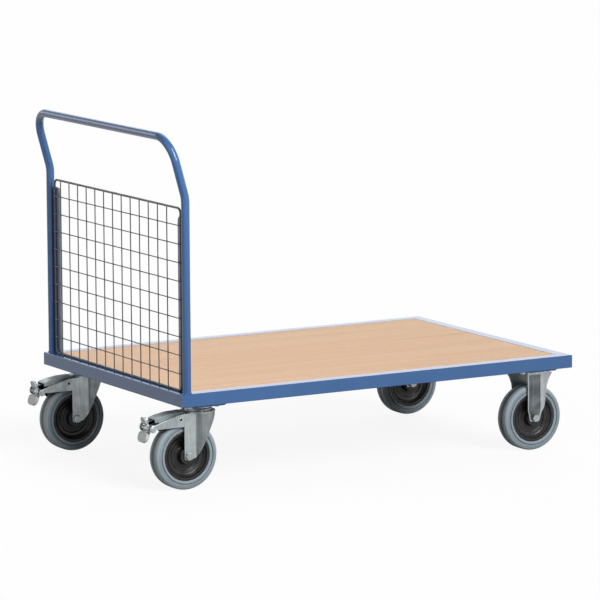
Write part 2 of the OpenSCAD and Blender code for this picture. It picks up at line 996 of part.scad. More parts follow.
// Outer leg of the fixed fork, straight behind and flared in front, with a sunk panel
module fixed_leg() {
    back = -23;
    flare = 54;
    foot = wheel_r - 8;
    waist = wheel_r + 30;
    panel_in = 3;
    panel_deep = 1.2;
    // The flare stops under the bolt head
    head_low = top_plate_z - bolt_head_h - 1.5;
    root = bolt_pitch_x / 2 - bolt_hex_r - 2;
    difference() {
        across(-fork_out, -fork_in)
            polygon([
                [back + 7, foot], [14, foot], [20, wheel_r + 14], [30, waist], [33, wheel_r + 48],
                [38, wheel_d - 2], [44, crown_bottom - 6], [flare, head_low - 2], [flare, head_low],
                [root, head_low], [root, top_plate_z + 1], [back, top_plate_z + 1], [back, waist - 6]
            ]);
        across(-fork_out - 1, -fork_out + panel_deep)
            polygon([
                [back + 7 + panel_in, foot + panel_in], [11, foot + panel_in], [17, wheel_r + 16],
                [18, waist], [18, crown_top + 4], [back + panel_in, crown_top + 4],
                [back + panel_in, waist - 6]
            ]);
    }
}

// One pressing: top plate and two legs, the left one turned end for end
module fixed_fork() {
    color(zinc)
        difference() {
            union() {
                top_plate_blank();
                fixed_leg();
                rotate(180)
                    fixed_leg();
            }
            translate([0, 0, wheel_r])
                rod_y(axle_r + fit, -through, through);
        }
}

// The truck

side_rail(0);  // rail_right
side_rail(180);  // rail_left
end_rail(handle_x, -90);  // rail_handle_end
end_rail(front_x, 90);  // rail_front_end
cross_members();
board_ledges();
deck_board();
deck_screws();
push_handle();
mesh_border();
mesh_uprights();
mesh_cross_wires();
caster_bolts();
caster_nuts();

for (side = SIDES) {
    mesh_strip(side);
    swivel_at(side) mount_plate();
    swivel_at(side) swivel_plate();
    swivel_at(side) swivel_balls();
    swivel_at(side) kingpin();
    swivel_at(side) swivel_fork();
    swivel_at(side) brake_pins();
    swivel_at(side) brake_lever();
    swivel_at(side) brake_shoe();
    swivel_at(side) brake_pedal();
    swivel_at(side) pedal_pads();
    swivel_wheel_at(side) tyre();
    swivel_wheel_at(side) wheel_centre();
    swivel_wheel_at(side) bearing();
    swivel_wheel_at(side) axle();
    swivel_wheel_at(side) axle_nut();
    fixed_at(side) mount_plate();
    fixed_at(side) fixed_fork();
    fixed_wheel_at(side) tyre();
    fixed_wheel_at(side) wheel_centre();
    fixed_wheel_at(side) bearing();
    fixed_wheel_at(side) axle();
    fixed_wheel_at(side) axle_nut();
}
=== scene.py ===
import math

import bmesh
import bpy
from mathutils import Matrix, Vector


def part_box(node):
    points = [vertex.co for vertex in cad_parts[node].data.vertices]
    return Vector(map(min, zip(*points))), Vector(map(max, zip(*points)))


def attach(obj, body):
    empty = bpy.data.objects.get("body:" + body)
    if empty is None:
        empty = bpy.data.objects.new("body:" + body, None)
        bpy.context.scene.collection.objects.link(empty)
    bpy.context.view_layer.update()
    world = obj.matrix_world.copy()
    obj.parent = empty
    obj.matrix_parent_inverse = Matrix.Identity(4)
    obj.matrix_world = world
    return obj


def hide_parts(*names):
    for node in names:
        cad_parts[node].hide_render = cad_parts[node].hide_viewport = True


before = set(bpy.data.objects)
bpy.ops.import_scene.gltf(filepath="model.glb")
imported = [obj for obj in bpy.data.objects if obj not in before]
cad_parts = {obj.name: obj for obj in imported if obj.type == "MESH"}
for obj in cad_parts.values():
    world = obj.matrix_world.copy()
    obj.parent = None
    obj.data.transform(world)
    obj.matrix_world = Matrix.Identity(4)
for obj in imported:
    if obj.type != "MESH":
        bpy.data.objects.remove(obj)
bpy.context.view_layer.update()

# --------------------------------------------------
# Side and end rails: four lengths of square steel tube, mitred at the corners,
# welded, ground flush and powder-coated blue. The tube's long edges are rolled.
# --------------------------------------------------
MM = 0.001
RAIL_EDGE = 2.2 * MM
RAIL_EDGE_STEPS = 4
PAINT_DEEP = (0.034, 0.116, 0.300, 1)
PAINT_LIGHT = (0.040, 0.128, 0.325, 1)
MIDDLE = (0.3, 0.7)  # where most of a noise lies


def add(tree, kind, inputs=None, **settings):
    """One node with its settings; an input is a value, or another node's output."""
    node = tree.nodes.new(kind)
    for key, value in settings.items():
        setattr(node, key, value)
    for socket, value in (inputs or {}).items():
        if isinstance(value, bpy.types.NodeSocket):
            tree.links.new(value, node.inputs[socket])
        else:
            node.inputs[socket].default_value = value
    return node


def new_finish(name, **values):
    """A material with one Principled shader, its plain values set on the sockets."""
    finish = bpy.data.materials.new(name)
    finish.use_nodes = True
    tree = finish.node_tree
    shader = tree.nodes["Principled BSDF"]
    for socket, value in values.items():
        shader.inputs[socket.replace("_", " ")].default_value = value
    place = add(tree, "ShaderNodeTexCoord").outputs["Object"]
    return finish, tree, shader, place


def noise(tree, place, scale, stretch=(1, 1, 1), detail=2.0, rough=0.5):
    """Noise in metres of the piece, drawn out along an axis where stretch is small."""
    moved = add(tree, "ShaderNodeMapping", {"Vector": place, "Scale": stretch}).outputs[0]
    made = add(tree, "ShaderNodeTexNoise",
               {"Vector": moved, "Scale": scale, "Detail": detail, "Roughness": rough})
    return made.outputs["Fac"]


def spread(tree, value, low, high, to_low=0.0, to_high=1.0):
    """Stretches the middle of a noise to a wanted range."""
    node = add(tree, "ShaderNodeMapRange", {
        "Value": value, "From Min": low, "From Max": high, "To Min": to_low, "To Max": to_high})
    return node.outputs[0]


def blend_colour(tree, share, first, second):
    """From the first colour to the second by a share of 0 to 1."""
    node = add(tree, "ShaderNodeMix", data_type="RGBA")
    for index, value in ((0, share), (6, first), (7, second)):
        if isinstance(value, bpy.types.NodeSocket):
            tree.links.new(value, node.inputs[index])
        else:
            node.inputs[index].default_value = value
    return node.outputs[2]


def colour_by(tree, shader, share, first, second):
    tree.links.new(blend_colour(tree, share, first, second), shader.inputs["Base Color"])


def rough_by(tree, shader, share, low, high):
    tree.links.new(spread(tree, share, 0, 1, low, high), shader.inputs["Roughness"])


def bumps(tree, shader, height, strength, depth):
    made = add(tree, "ShaderNodeBump", {"Height": height, "Strength": strength, "Distance": depth})
    tree.links.new(made.outputs[0], shader.inputs["Normal"])


def blue_powder_coat():
    """Satin powder coat: a soft mottle, orange-peel ripples and uneven gloss."""
    finish, tree, shader, place = new_finish("blue_powder_coat", IOR=1.5)
    mottle = spread(tree, noise(tree, place, scale=9, detail=3), *MIDDLE)
    colour_by(tree, shader, mottle, PAINT_DEEP, PAINT_LIGHT)
    haze = spread(tree, noise(tree, place, scale=40, detail=3), *MIDDLE)
    rough_by(tree, shader, haze, 0.09, 0.15)
    ripples = noise(tree, place, scale=300, detail=1)
    bumps(tree, shader, ripples, strength=0.02, depth=0.4 * MM)
    return finish


PAINT = blue_powder_coat()


def weigh(piece, crease=34):
    """Smooth shading that keeps large faces flat, baked into the mesh."""
    mesh = piece.data
    mesh.shade_smooth()
    mesh.set_sharp_from_angle(angle=math.radians(crease))
    weights = piece.modifiers.new("flat_faces", "WEIGHTED_NORMAL")
    weights.keep_sharp = True
    bake(piece)


def bake(piece):
    """Turns the piece's modifiers into plain mesh."""
    view = bpy.context.evaluated_depsgraph_get()
    plain = bpy.data.meshes.new_from_object(
        piece.evaluated_get(view), preserve_all_data_layers=True, depsgraph=view)
    piece.modifiers.clear()
    rough = piece.data
    piece.data = plain
    bpy.data.meshes.remove(rough)


def new_piece(name, mesh, *finishes):
    piece = bpy.data.objects.new(name, mesh)
    bpy.context.scene.collection.objects.link(piece)
    for finish in finishes:
        mesh.materials.append(finish)
    return piece


def fix(piece, body, slot, *nodes):
    """The piece rides on its body and stands for CAD nodes; the slot is not used."""
    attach(piece, body)
    if nodes:
        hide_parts(*nodes)


def from_bmesh(name, bm):
    bmesh.ops.recalc_face_normals(bm, faces=bm.faces)
    mesh = bpy.data.meshes.new(name)
    bm.to_mesh(mesh)
    bm.free()
    return mesh


def tube_rail(name, start, along, inward, length, width, height):
    """A square tube with rolled edges between two mitres; start is its outer lower corner."""
    rim = []
    for corner_u, corner_z, turn in ((1, 0, -90), (1, 1, 0), (0, 1, 90), (0, 0, 180)):
        centre_u = (width - RAIL_EDGE) if corner_u else RAIL_EDGE
        centre_z = (height - RAIL_EDGE) if corner_z else RAIL_EDGE
        for step in range(RAIL_EDGE_STEPS + 1):
            angle = math.radians(turn + 90 * step / RAIL_EDGE_STEPS)
            rim.append((centre_u + RAIL_EDGE * math.cos(angle),
                        centre_z + RAIL_EDGE * math.sin(angle)))
    bm = bmesh.new()
    ends = []
    for far in (False, True):
        ring = []
        for u, z in rim:
            run = length - u if far else u
            ring.append(bm.verts.new(start + along * run + inward * u + Vector((0, 0, z))))
        ends.append(ring)
    for i in range(len(rim)):
        j = (i + 1) % len(rim)
        bm.faces.new((ends[0][i], ends[0][j], ends[1][j], ends[1][i]))
    bm.faces.new(ends[0])
    bm.faces.new(ends[1])
    return new_piece(name, from_bmesh(name, bm), PAINT)


rail_low, rail_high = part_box("rail_right")
RAIL_W = rail_high.y - rail_low.y
RAIL_H = rail_high.z - rail_low.z
HANDLE_X, FRONT_X = rail_low.x, rail_high.x
RIGHT_Y, LEFT_Y = rail_low.y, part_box("rail_left")[1].y
RAIL_Z, DECK_Z = rail_low.z, rail_high.z
X_AXIS, Y_AXIS = Vector((1, 0, 0)), Vector((0, 1, 0))
SIDE_L, END_L = FRONT_X - HANDLE_X, LEFT_Y - RIGHT_Y
for name, node, x, y, along, inward, length in (
    ("side_rail_right", "rail_right", HANDLE_X, RIGHT_Y, X_AXIS, Y_AXIS, SIDE_L),
    ("side_rail_left", "rail_left", HANDLE_X, LEFT_Y, X_AXIS, -Y_AXIS, SIDE_L),
    ("end_rail_handle", "rail_handle_end", HANDLE_X, RIGHT_Y, Y_AXIS, X_AXIS, END_L),
    ("end_rail_front", "rail_front_end", FRONT_X, RIGHT_Y, Y_AXIS, -X_AXIS, END_L),
):
    rail = tube_rail(name, Vector((x, y, RAIL_Z)), along, inward, length, RAIL_W, RAIL_H)
    weigh(rail)
    fix(rail, "frame", "blue_paint", node)

# --------------------------------------------------
# Cross members and board ledges: lighter steel tube and flat bar under the
# deck, welded between the side rails and painted with the frame.
# --------------------------------------------------
BEARER_EDGE = 1.0 * MM
SAME_POINT = 1e-6
FLAT_TURN = math.radians(0.4)
SHARP_TURN = math.radians(28)


def softened(node, name, edge, finish, steps=2):
    """A copy of a CAD solid with its triangles merged and its sharp edges rounded."""
    bm = bmesh.new()
    bm.from_mesh(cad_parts[node].data)
    bmesh.ops.remove_doubles(bm, verts=bm.verts, dist=SAME_POINT)
    bmesh.ops.dissolve_limit(bm, angle_limit=FLAT_TURN, verts=bm.verts, edges=bm.edges)
    sharp = [e for e in bm.edges if len(e.link_faces) == 2 and e.calc_face_angle() > SHARP_TURN]
    bmesh.ops.bevel(bm, geom=sharp, offset=edge, segments=steps, profile=0.5, affect="EDGES",
                    clamp_overlap=False)
    mesh = bpy.data.meshes.new(name)
    bm.to_mesh(mesh)
    bm.free()
    piece = new_piece(name, mesh, finish)
    weigh(piece)
    return piece


for node, name in (("cross_members", "deck_bearers"), ("board_ledges", "end_ledges")):
    fix(softened(node, name, BEARER_EDGE, PAINT), "frame", "blue_paint", node)

# --------------------------------------------------
# Deck board: beech-faced board laid flush inside the rails, edges eased by hand,
# clear-lacquered, with the grain along the truck.
# --------------------------------------------------
BOARD_EDGE = 1.2 * MM
BEECH_PALE = (0.745, 0.498, 0.322, 1)
BEECH_WARM = (0.650, 0.405, 0.243, 1)
BEECH_FLECK = (0.405, 0.250, 0.146, 1)
WARM_SHARE = 0.12  # everywhere in the veneer


def lacquered_beech():
    """Beech veneer: broad pale and warm bands, fine growth lines and short dark flecks."""
    finish, tree, shader, place = new_finish("lacquered_beech", IOR=1.3)
    bands = noise(tree, place, scale=3.2, stretch=(0.35, 4, 4), detail=3)
    bands = spread(tree, bands, *MIDDLE)
    lines = noise(tree, place, scale=22, stretch=(0.06, 6, 6), detail=4, rough=0.62)
    lines = spread(tree, lines, 0.32, 0.68)
    share = add(tree, "ShaderNodeMath", {0: bands, 1: lines, 2: WARM_SHARE},
                operation="MULTIPLY_ADD").outputs[0]
    veneer = blend_colour(tree, share, BEECH_PALE, BEECH_WARM)
    flecks = noise(tree, place, scale=60, stretch=(1.6, 17, 17), detail=1)
    flecks = spread(tree, flecks, 0.62, 0.70, to_high=0.55)
    colour_by(tree, shader, flecks, veneer, BEECH_FLECK)
    rough_by(tree, shader, lines, 0.60, 0.72)
    bumps(tree, shader, lines, strength=0.12, depth=0.3 * MM)
    return finish


def eased_board(name, low, high, edge, finish):
    """A block between two corners, all its edges rounded."""
    bm = bmesh.new()
    bmesh.ops.create_cube(bm, size=1)
    for vert in bm.verts:
        vert.co = Vector((high[i] if vert.co[i] > 0 else low[i] for i in range(3)))
    bmesh.ops.bevel(bm, geom=bm.edges, offset=edge, segments=3, profile=0.5, affect="EDGES")
    board = new_piece(name, from_bmesh(name, bm), finish)
    weigh(board)
    return board


board = eased_board("beech_deck", *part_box("deck_board"), BOARD_EDGE, lacquered_beech())
fix(board, "frame", "board", "deck_board")

# --------------------------------------------------
# Deck screws: zinc-plated pan-head screws with a cross slot, driven from below
# through the cross members into the board.
# --------------------------------------------------
ZINC_DULL = (0.265, 0.295, 0.304, 1)
ZINC_BRIGHT = (0.500, 0.543, 0.553, 1)
ZINC_EDGE_HIGHLIGHT = (0.880, 0.900, 0.900, 1)
SCREW_HEAD_R = 4.5 * MM
SCREW_HEAD_H = 3.0 * MM
SCREW_SHANK_R = 2.4 * MM
SCREW_DOME = 0.72  # of the head's width
SLOT_W = 0.22  # of the head's radius
SLOT_Z = -0.55  # of the head's height
EDGE_HIGHLIGHT_R = 1.6 * MM


def zinc_plate(name, dull, bright, painted_edge_highlight=0.8, metal=0.85):
    """Blue-white zinc plating: rolling streaks, cloudy dull spots and a painted highlight on
    rounded edges.
    """
    finish, tree, shader, place = new_finish(name, Metallic=metal)
    streaks = noise(tree, place, scale=230, stretch=(1, 1, 0.05), detail=3, rough=0.6)
    streaks = spread(tree, streaks, *MIDDLE, to_high=0.6)
    clouds = spread(tree, noise(tree, place, scale=30, detail=4), 0.35, 0.68)
    share = add(tree, "ShaderNodeMath", {0: clouds, 1: 0.5, 2: streaks}, operation="MULTIPLY_ADD")
    share.use_clamp = True
    plain = blend_colour(tree, share.outputs[0], dull, bright)
    # Painted highlight: faces near a rounded edge, where the bevel normal turns away, are
    # lightened towards near-white.
    rounded = add(tree, "ShaderNodeBevel", {"Radius": EDGE_HIGHLIGHT_R}, samples=6).outputs[0]
    facing = add(tree, "ShaderNodeNewGeometry").outputs["Normal"]
    same = add(tree, "ShaderNodeVectorMath", {0: rounded, 1: facing}, operation="DOT_PRODUCT")
    painted_light_share = spread(tree, same.outputs["Value"], 0.97, 0.86, to_high=painted_edge_highlight)
    colour_by(tree, shader, painted_light_share, plain, ZINC_EDGE_HIGHLIGHT)
    rough_by(tree, shader, clouds, 0.42, 0.28)
    grain = noise(tree, place, scale=260, stretch=(1, 1, 0.25), detail=3)
    bumps(tree, shader, grain, strength=0.10, depth=0.4 * MM)
    return finish


ZINC = zinc_plate("zinc_plate", ZINC_DULL, ZINC_BRIGHT)


class Growth:
    """A Geometry Nodes tree with named inputs for its sizes."""

    KINDS = {"float": "NodeSocketFloat", "int": "NodeSocketInt", "vector": "NodeSocketVector",
             "finish": "NodeSocketMaterial"}

    def __init__(self, name, **inputs):
        self.tree = bpy.data.node_groups.new(name, "GeometryNodeTree")
        face = self.tree.interface
        face.new_socket("Geometry", in_out="INPUT", socket_type="NodeSocketGeometry")
        self.keys = {}
        for label, kind in {**inputs, "finish": "finish"}.items():
            socket = face.new_socket(label, in_out="INPUT", socket_type=self.KINDS[kind])
            self.keys[label] = socket.identifier
        face.new_socket("Geometry", in_out="OUTPUT", socket_type="NodeSocketGeometry")
        self.start = add(self.tree, "NodeGroupInput")

    def size(self, label):
        return self.start.outputs[label]

    def node(self, kind, inputs=None, **settings):
        return add(self.tree, "GeometryNode" + kind, inputs, **settings)

    def math(self, operation, first, second):
        made = add(self.tree, "ShaderNodeMath", {0: first, 1: second}, operation=operation)
        return made.outputs[0]

    def upright(self, height):
        return add(self.tree, "ShaderNodeCombineXYZ", {"Z": height}).outputs[0]

    def lift(self, shape, height):
        way = self.upright(height)
        return self.node("Transform", {"Geometry": shape, "Translation": way}).outputs[0]

    def join(self, *shapes):
        node = self.node("JoinGeometry")
        for shape in shapes:
            self.tree.links.new(shape, node.inputs[0])
        return node.outputs[0]

    def cut(self, shape):
        """A boolean that takes other shapes out of this one."""
        node = self.node("MeshBoolean", operation="DIFFERENCE", solver="EXACT")
        self.tree.links.new(shape, node.inputs["Mesh 1"])
        return node

    def shank(self, sides):
        """A round shank that stands on the head."""
        rod = self.node("MeshCylinder", {
            "Vertices": sides, "Radius": self.size("shank_r"), "Depth": self.size("shank_l")})
        half = self.math("MULTIPLY", self.size("shank_l"), 0.5)
        return self.lift(rod.outputs["Mesh"], self.math("ADD", half, self.size("head_h")))

    def end(self, shape):
        """Real mesh in the piece's finish is what leaves the tree."""
        plain = self.node("RealizeInstances", {"Geometry": shape}).outputs[0]
        finish = self.size("finish")
        done = self.node("SetMaterial", {"Geometry": plain, "Material": finish}).outputs[0]
        self.tree.links.new(done, add(self.tree, "NodeGroupOutput").inputs[0])
        return self

    def on_points(self, shape, turn=None):
        """One copy of the shape on each point of the start mesh."""
        inputs = {"Points": self.size("Geometry"), "Instance": shape}
        if turn is not None:
            inputs["Rotation"] = turn
        return self.end(self.node("InstanceOnPoints", inputs).outputs[0])

    def grow(self, name, start, finish, crease=30, **sizes):
        """Runs the tree on a start mesh and returns the result as a plain piece."""
        piece = new_piece(name, start)
        made = piece.modifiers.new("growth", "NODES")
        made.node_group = self.tree
        for label, value in {**sizes, "finish": finish}.items():
            made[self.keys[label]] = value
        bake(piece)
        weigh(piece, crease)
        return piece


def points(name, places):
    mesh = bpy.data.meshes.new(name)
    mesh.from_pydata([tuple(p) for p in places], [], [])
    return mesh


def pan_screw():
    """Domed head with a cross slot, its face down at Z = 0, and a shank above it."""
    tree = Growth("pan_screw", head_r="float", head_h="float", shank_r="float", shank_l="float")
    head_r, head_h = tree.size("head_r"), tree.size("head_h")
    head = tree.node("MeshCylinder", {
        "Vertices": 28, "Side Segments": 3, "Radius": head_r, "Depth": head_h}).outputs
    domed = tree.node("ScaleElements", {
        "Geometry": head["Mesh"], "Selection": head["Bottom"], "Scale": SCREW_DOME}).outputs[0]
    cross = tree.cut(domed)
    slot_w = tree.math("MULTIPLY", head_r, SLOT_W)
    for long_side, short_side in (("X", "Y"), ("Y", "X")):
        box = add(tree.tree, "ShaderNodeCombineXYZ",
                  {long_side: head_r, short_side: slot_w, "Z": head_h}).outputs[0]
        slot = tree.node("MeshCube", {"Size": box}).outputs["Mesh"]
        slot = tree.lift(slot, tree.math("MULTIPLY", head_h, SLOT_Z))
        tree.tree.links.new(slot, cross.inputs["Mesh 2"])
    head_done = tree.lift(cross.outputs[0], tree.math("MULTIPLY", head_h, 0.5))
    return tree.on_points(tree.join(head_done, tree.shank(16)))


def row(low, high, edge, count):
    """Evenly spaced places from low to high, the outer ones in from the ends by the edge."""
    step = (high - low - 2 * edge) / (count - 1)
    return [low + edge + i * step for i in range(count)]


screw_low, screw_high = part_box("deck_screws")
cross_low, cross_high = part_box("cross_members")
CROSS_W = 40 * MM
CROSS_COUNT = 4
screw_y = screw_high.y - SCREW_HEAD_R
screw_places = [(x, y, screw_low.z)
                for x in row(cross_low.x, cross_high.x, CROSS_W / 2, CROSS_COUNT)
                for y in (-screw_y, screw_y)]
screws = pan_screw().grow("pan_head_screws", points("screw_places", screw_places), ZINC,
                          head_r=SCREW_HEAD_R, head_h=SCREW_HEAD_H, shank_r=SCREW_SHANK_R,
                          shank_l=screw_high.z - screw_low.z - SCREW_HEAD_H)
fix(screws, "frame", "zinc", "deck_screws")

# --------------------------------------------------
# Caster mounting plates: four flat steel plates with cut corners, welded under
# the corners of the frame and painted with it.
# --------------------------------------------------
SIDES = ("right", "left")
ENDS = ("swivel", "fixed")
PLATE_EDGE = 0.8 * MM
for side in SIDES:
    for end in ENDS:
        node = f"{side}_{end}_mount"
        fix(softened(node, f"{node}_plate", PLATE_EDGE, PAINT), "frame", "blue_paint", node)

# --------------------------------------------------
# Push handle: one steel tube, bent cold in four places and blue powder-coated.
# Its two legs stand on the rail corners, each in a ring of weld.
# --------------------------------------------------
LEAN = math.radians(15.5)
LEAN_R = 100 * MM
LEAN_L = 150 * MM
CORNER_R = 68 * MM
TUBE_R = 11 * MM
LEAN_RISE = 493 * MM
BEND_STEPS = 36
TUBE_SIDES = 48
WELD_LUMPS = 26
WELD_R = 1.9 * MM
WELD_FLAT = (1, 1, 0.9)


def rod_tree():
    """A round rod along a path of points."""
    tree = Growth("round_rod", radius="float", sides="int")
    path = tree.node("MeshToCurve", {"Mesh": tree.size("Geometry")}).outputs[0]
    ring = tree.node("CurvePrimitiveCircle",
                     {"Resolution": tree.size("sides"), "Radius": tree.size("radius")}).outputs[0]
    rod = tree.node("CurveToMesh", {"Curve": path, "Profile Curve": ring, "Fill Caps": True})
    return tree.end(rod.outputs[0])


def path_mesh(name, line, closed=False):
    mesh = bpy.data.meshes.new(name)
    edges = [(i, i + 1) for i in range(len(line) - 1)]
    if closed:
        edges.append((len(line) - 1, 0))
    mesh.from_pydata([tuple(p) for p in line], edges, [])
    return mesh


def handle_half(leg_x, leg_y, foot_z, side):
    """The path of one leg and its corner, from the foot to the middle of the bar."""
    lean_z = foot_z + LEAN_RISE
    up = Vector((-math.sin(LEAN), 0, math.cos(LEAN)))
    line = [Vector((leg_x, side * leg_y, z)) for z in (foot_z, foot_z + LEAN_RISE / 2)]
    for i in range(BEND_STEPS + 1):
        angle = LEAN * i / BEND_STEPS
        line.append(Vector((leg_x - LEAN_R * (1 - math.cos(angle)), side * leg_y,
                            lean_z + LEAN_R * math.sin(angle))))
    root = line[-1]
    for i in range(BEND_STEPS + 1):
        angle = math.radians(90 * i / BEND_STEPS)
        rise = LEAN_L - CORNER_R + CORNER_R * math.sin(angle)
        spot = root + up * rise
        spot.y = side * (leg_y - CORNER_R + CORNER_R * math.cos(angle))
        line.append(spot)
    return line


handle_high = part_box("push_handle")[1]
LEG_X, LEG_Y = handle_high.x - TUBE_R, handle_high.y - TUBE_R
ROD = rod_tree()
handle_path = handle_half(LEG_X, LEG_Y, DECK_Z, -1)
handle_path += handle_half(LEG_X, LEG_Y, DECK_Z, 1)[::-1]
handle = ROD.grow("bent_push_handle", path_mesh("handle_path", handle_path), PAINT, crease=40,
                  radius=TUBE_R, sides=TUBE_SIDES)
fix(handle, "frame", "blue_paint", "push_handle")


def lump_tree():
    """Flattened lumps of weld at each point."""
    tree = Growth("weld_lumps", radius="float", flat="vector")
    lump = tree.node("MeshIcoSphere", {"Radius": tree.size("radius"), "Subdivisions": 2})
    flat = tree.node("Transform", {"Geometry": lump.outputs["Mesh"], "Scale": tree.size("flat")})
    return tree.on_points(flat.outputs[0])


def ring(centre, radius, count):
    """Places on a level circle."""
    turns = [2 * math.pi * i / count for i in range(count)]
    return [centre + radius * Vector((math.cos(turn), math.sin(turn), 0)) for turn in turns]


LUMPS = lump_tree()
weld_places = []
for leg_y in (-LEG_Y, LEG_Y):
    foot = Vector((LEG_X, leg_y, DECK_Z + WELD_R / 4))
    weld_places += ring(foot, TUBE_R + WELD_R / 3, WELD_LUMPS)
weld_places = [p for p in weld_places if abs(p.y) < LEFT_Y - WELD_R]
leg_welds = LUMPS.grow("handle_leg_welds", points("leg_weld_places", weld_places), PAINT,
                       radius=WELD_R, flat=WELD_FLAT)
fix(leg_welds, "frame", "blue_paint")

# --------------------------------------------------
# Panel strips: two flat bars beside the handle legs, the free top corner rounded,
# coloured paler and greyer than the frame as a painted reflection. The mesh panel is welded to
# them.
# --------------------------------------------------
STRIP_SHEEN_DEEP = (0.205, 0.245, 0.345, 1)
STRIP_SHEEN_LIGHT = (0.235, 0.277, 0.385, 1)
STRIP_EDGE = 0.7 * MM


def mottled(name, first, second, scale, detail=3, middle=MIDDLE, rough=None, grain=None, **values):
    """A finish that wanders between two colours and two levels of gloss, with a fine grain."""
    finish, tree, shader, place = new_finish(name, **values)
    mottle = spread(tree, noise(tree, place, scale, detail=detail), *middle)
    colour_by(tree, shader, mottle, first, second)
    if rough:
        rough_by(tree, shader, mottle, *rough)
    if grain:
        fine = noise(tree, place, grain["scale"], detail=grain["detail"])
        bumps(tree, shader, fine, grain["strength"], depth=0.2 * MM)
    return finish


# Painted reflection: the strips take a paler, greyer blue than the frame's paint.
STRIP_SHEEN_COAT = mottled("painted_sheen_strip_coat", STRIP_SHEEN_DEEP, STRIP_SHEEN_LIGHT, scale=9, IOR=1.5, Roughness=0.3)
for side in SIDES:
    node = f"{side}_mesh_strip"
    strip = softened(node, f"{side}_panel_strip", STRIP_EDGE, STRIP_SHEEN_COAT)
    fix(strip, "frame", "blue_paint", node)

# --------------------------------------------------
# Mesh panel: a thick border wire bent to a frame, with thinner cross wires and
# uprights spot-welded to it and to each other, coated dark grey.
# --------------------------------------------------
BORDER_R = 3 * MM
BORDER_BEND = 14 * MM
BORDER_STEPS = 8
BORDER_SIDES = 20
WIRE_R = 1.5 * MM
UPRIGHTS = 13
CROSS_WIRES = 9
WIRE_DARK = (0.046, 0.050, 0.058, 1)
WIRE_GREY = (0.080, 0.086, 0.098, 1)
SPOT_R = 2.0 * MM
SPOT_FLAT = (0.95, 0.9, 0.9)


def middle_of(node):
    low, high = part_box(node)
    return (low + high) / 2


WIRE = mottled("wire_coat", WIRE_DARK, WIRE_GREY, scale=160, rough=(0.34, 0.48),
               grain={"scale": 900, "detail": 1, "strength": 0.08}, IOR=1.5)
border_low, border_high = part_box("mesh_border")
border_x = middle_of("mesh_border").x
low_z, high_z = border_low.z + BORDER_R, border_high.z - BORDER_R
bend_y = border_high.y - BORDER_R - BORDER_BEND
bend_low, bend_high = low_z + BORDER_BEND, high_z - BORDER_BEND
border_line = []
for centre_y, centre_z, turn in ((bend_y, bend_high, 0), (-bend_y, bend_high, 90),
                                 (-bend_y, bend_low, 180), (bend_y, bend_low, 270)):
    for i in range(BORDER_STEPS + 1):
        angle = math.radians(turn + 90 * i / BORDER_STEPS)
        border_line.append((border_x, centre_y + BORDER_BEND * math.cos(angle),
                            centre_z + BORDER_BEND * math.sin(angle)))
border_path = path_mesh("border_path", border_line, closed=True)
border = ROD.grow("panel_border_wire", border_path, WIRE, crease=40,
                  radius=BORDER_R, sides=BORDER_SIDES)
fix(border, "frame", "mesh_wire", "mesh_border")


def wire_row_tree():
    """Straight wires of one length, one at each point."""
    tree = Growth("wire_row", radius="float", length="float", turn="vector")
    wire = tree.node("MeshCylinder", {
        "Vertices": 14, "Radius": tree.size("radius"), "Depth": tree.size("length")})
    return tree.on_points(wire.outputs["Mesh"], tree.size("turn"))


WIRE_ROW = wire_row_tree()
upright_low, upright_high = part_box("mesh_uprights")
cross_wire_low, cross_wire_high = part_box("mesh_cross_wires")
upright_x, _, upright_z = middle_of("mesh_uprights")
cross_wire_x = middle_of("mesh_cross_wires").x
upright_ys = row(upright_low.y, upright_high.y, WIRE_R, UPRIGHTS)
cross_zs = row(cross_wire_low.z, cross_wire_high.z, WIRE_R, CROSS_WIRES)
upright_places = points("upright_places", [(upright_x, y, upright_z) for y in upright_ys])
uprights = WIRE_ROW.grow("panel_upright_wires", upright_places, WIRE, crease=40, radius=WIRE_R,
                         length=upright_high.z - upright_low.z, turn=(0, 0, 0))
fix(uprights, "frame", "mesh_wire", "mesh_uprights")
cross_wire_places = points("cross_wire_places", [(cross_wire_x, 0, z) for z in cross_zs])
cross_wires = WIRE_ROW.grow("panel_cross_wires", cross_wire_places, WIRE, crease=40, radius=WIRE_R,
                            length=cross_wire_high.y - cross_wire_low.y, turn=(math.pi / 2, 0, 0))
fix(cross_wires, "frame", "mesh_wire", "mesh_cross_wires")
spot_x = (upright_x + cross_wire_x) / 2
spots = [(spot_x, y, z) for y in upright_ys for z in cross_zs]
end_x = (cross_wire_x + border_x - BORDER_R + WIRE_R) / 2
end_y = border_high.y - BORDER_R
spots += [(end_x, y, z) for y in (-end_y, end_y) for z in cross_zs]
spots += [(spot_x, y, z) for y in upright_ys for z in (low_z, high_z)]
weld_spots = LUMPS.grow("panel_weld_spots", points("weld_spot_places", spots), WIRE,
                        radius=SPOT_R, flat=SPOT_FLAT)
fix(weld_spots, "frame", "mesh_wire")

# --------------------------------------------------
# Swivel heads: zinc-plated top plate with the upper race pressed in it, a ring
# of hard steel balls and a riveted kingpin.
# --------------------------------------------------
BALL_R = 4 * MM
BALL_RING_R = 28 * MM
BALL_COUNT = 18
HEAD_EDGE = 0.5 * MM


def ball_tree():
    """A round ball at each point."""
    tree = Growth("race_balls", radius="float")
    ball = tree.node("MeshIcoSphere", {"Radius": tree.size("radius"), "Subdivisions": 3})
    return tree.on_points(ball.outputs["Mesh"])


BALLS = ball_tree()
for side in SIDES:
    for part, name in (("swivel_plate", "swivel_top_plate"), ("kingpin", "riveted_kingpin")):
        node = f"{side}_{part}"
        fix(softened(node, f"{side}_{name}", HEAD_EDGE, ZINC), "frame", "zinc", node)
    node = f"{side}_swivel_balls"
    ball_places = points("ball_places", ring(middle_of(node), BALL_RING_R, BALL_COUNT))
    balls = BALLS.grow(f"{side}_race_balls", ball_places, ZINC, crease=80, radius=BALL_R)
    fix(balls, "frame", "zinc", node)
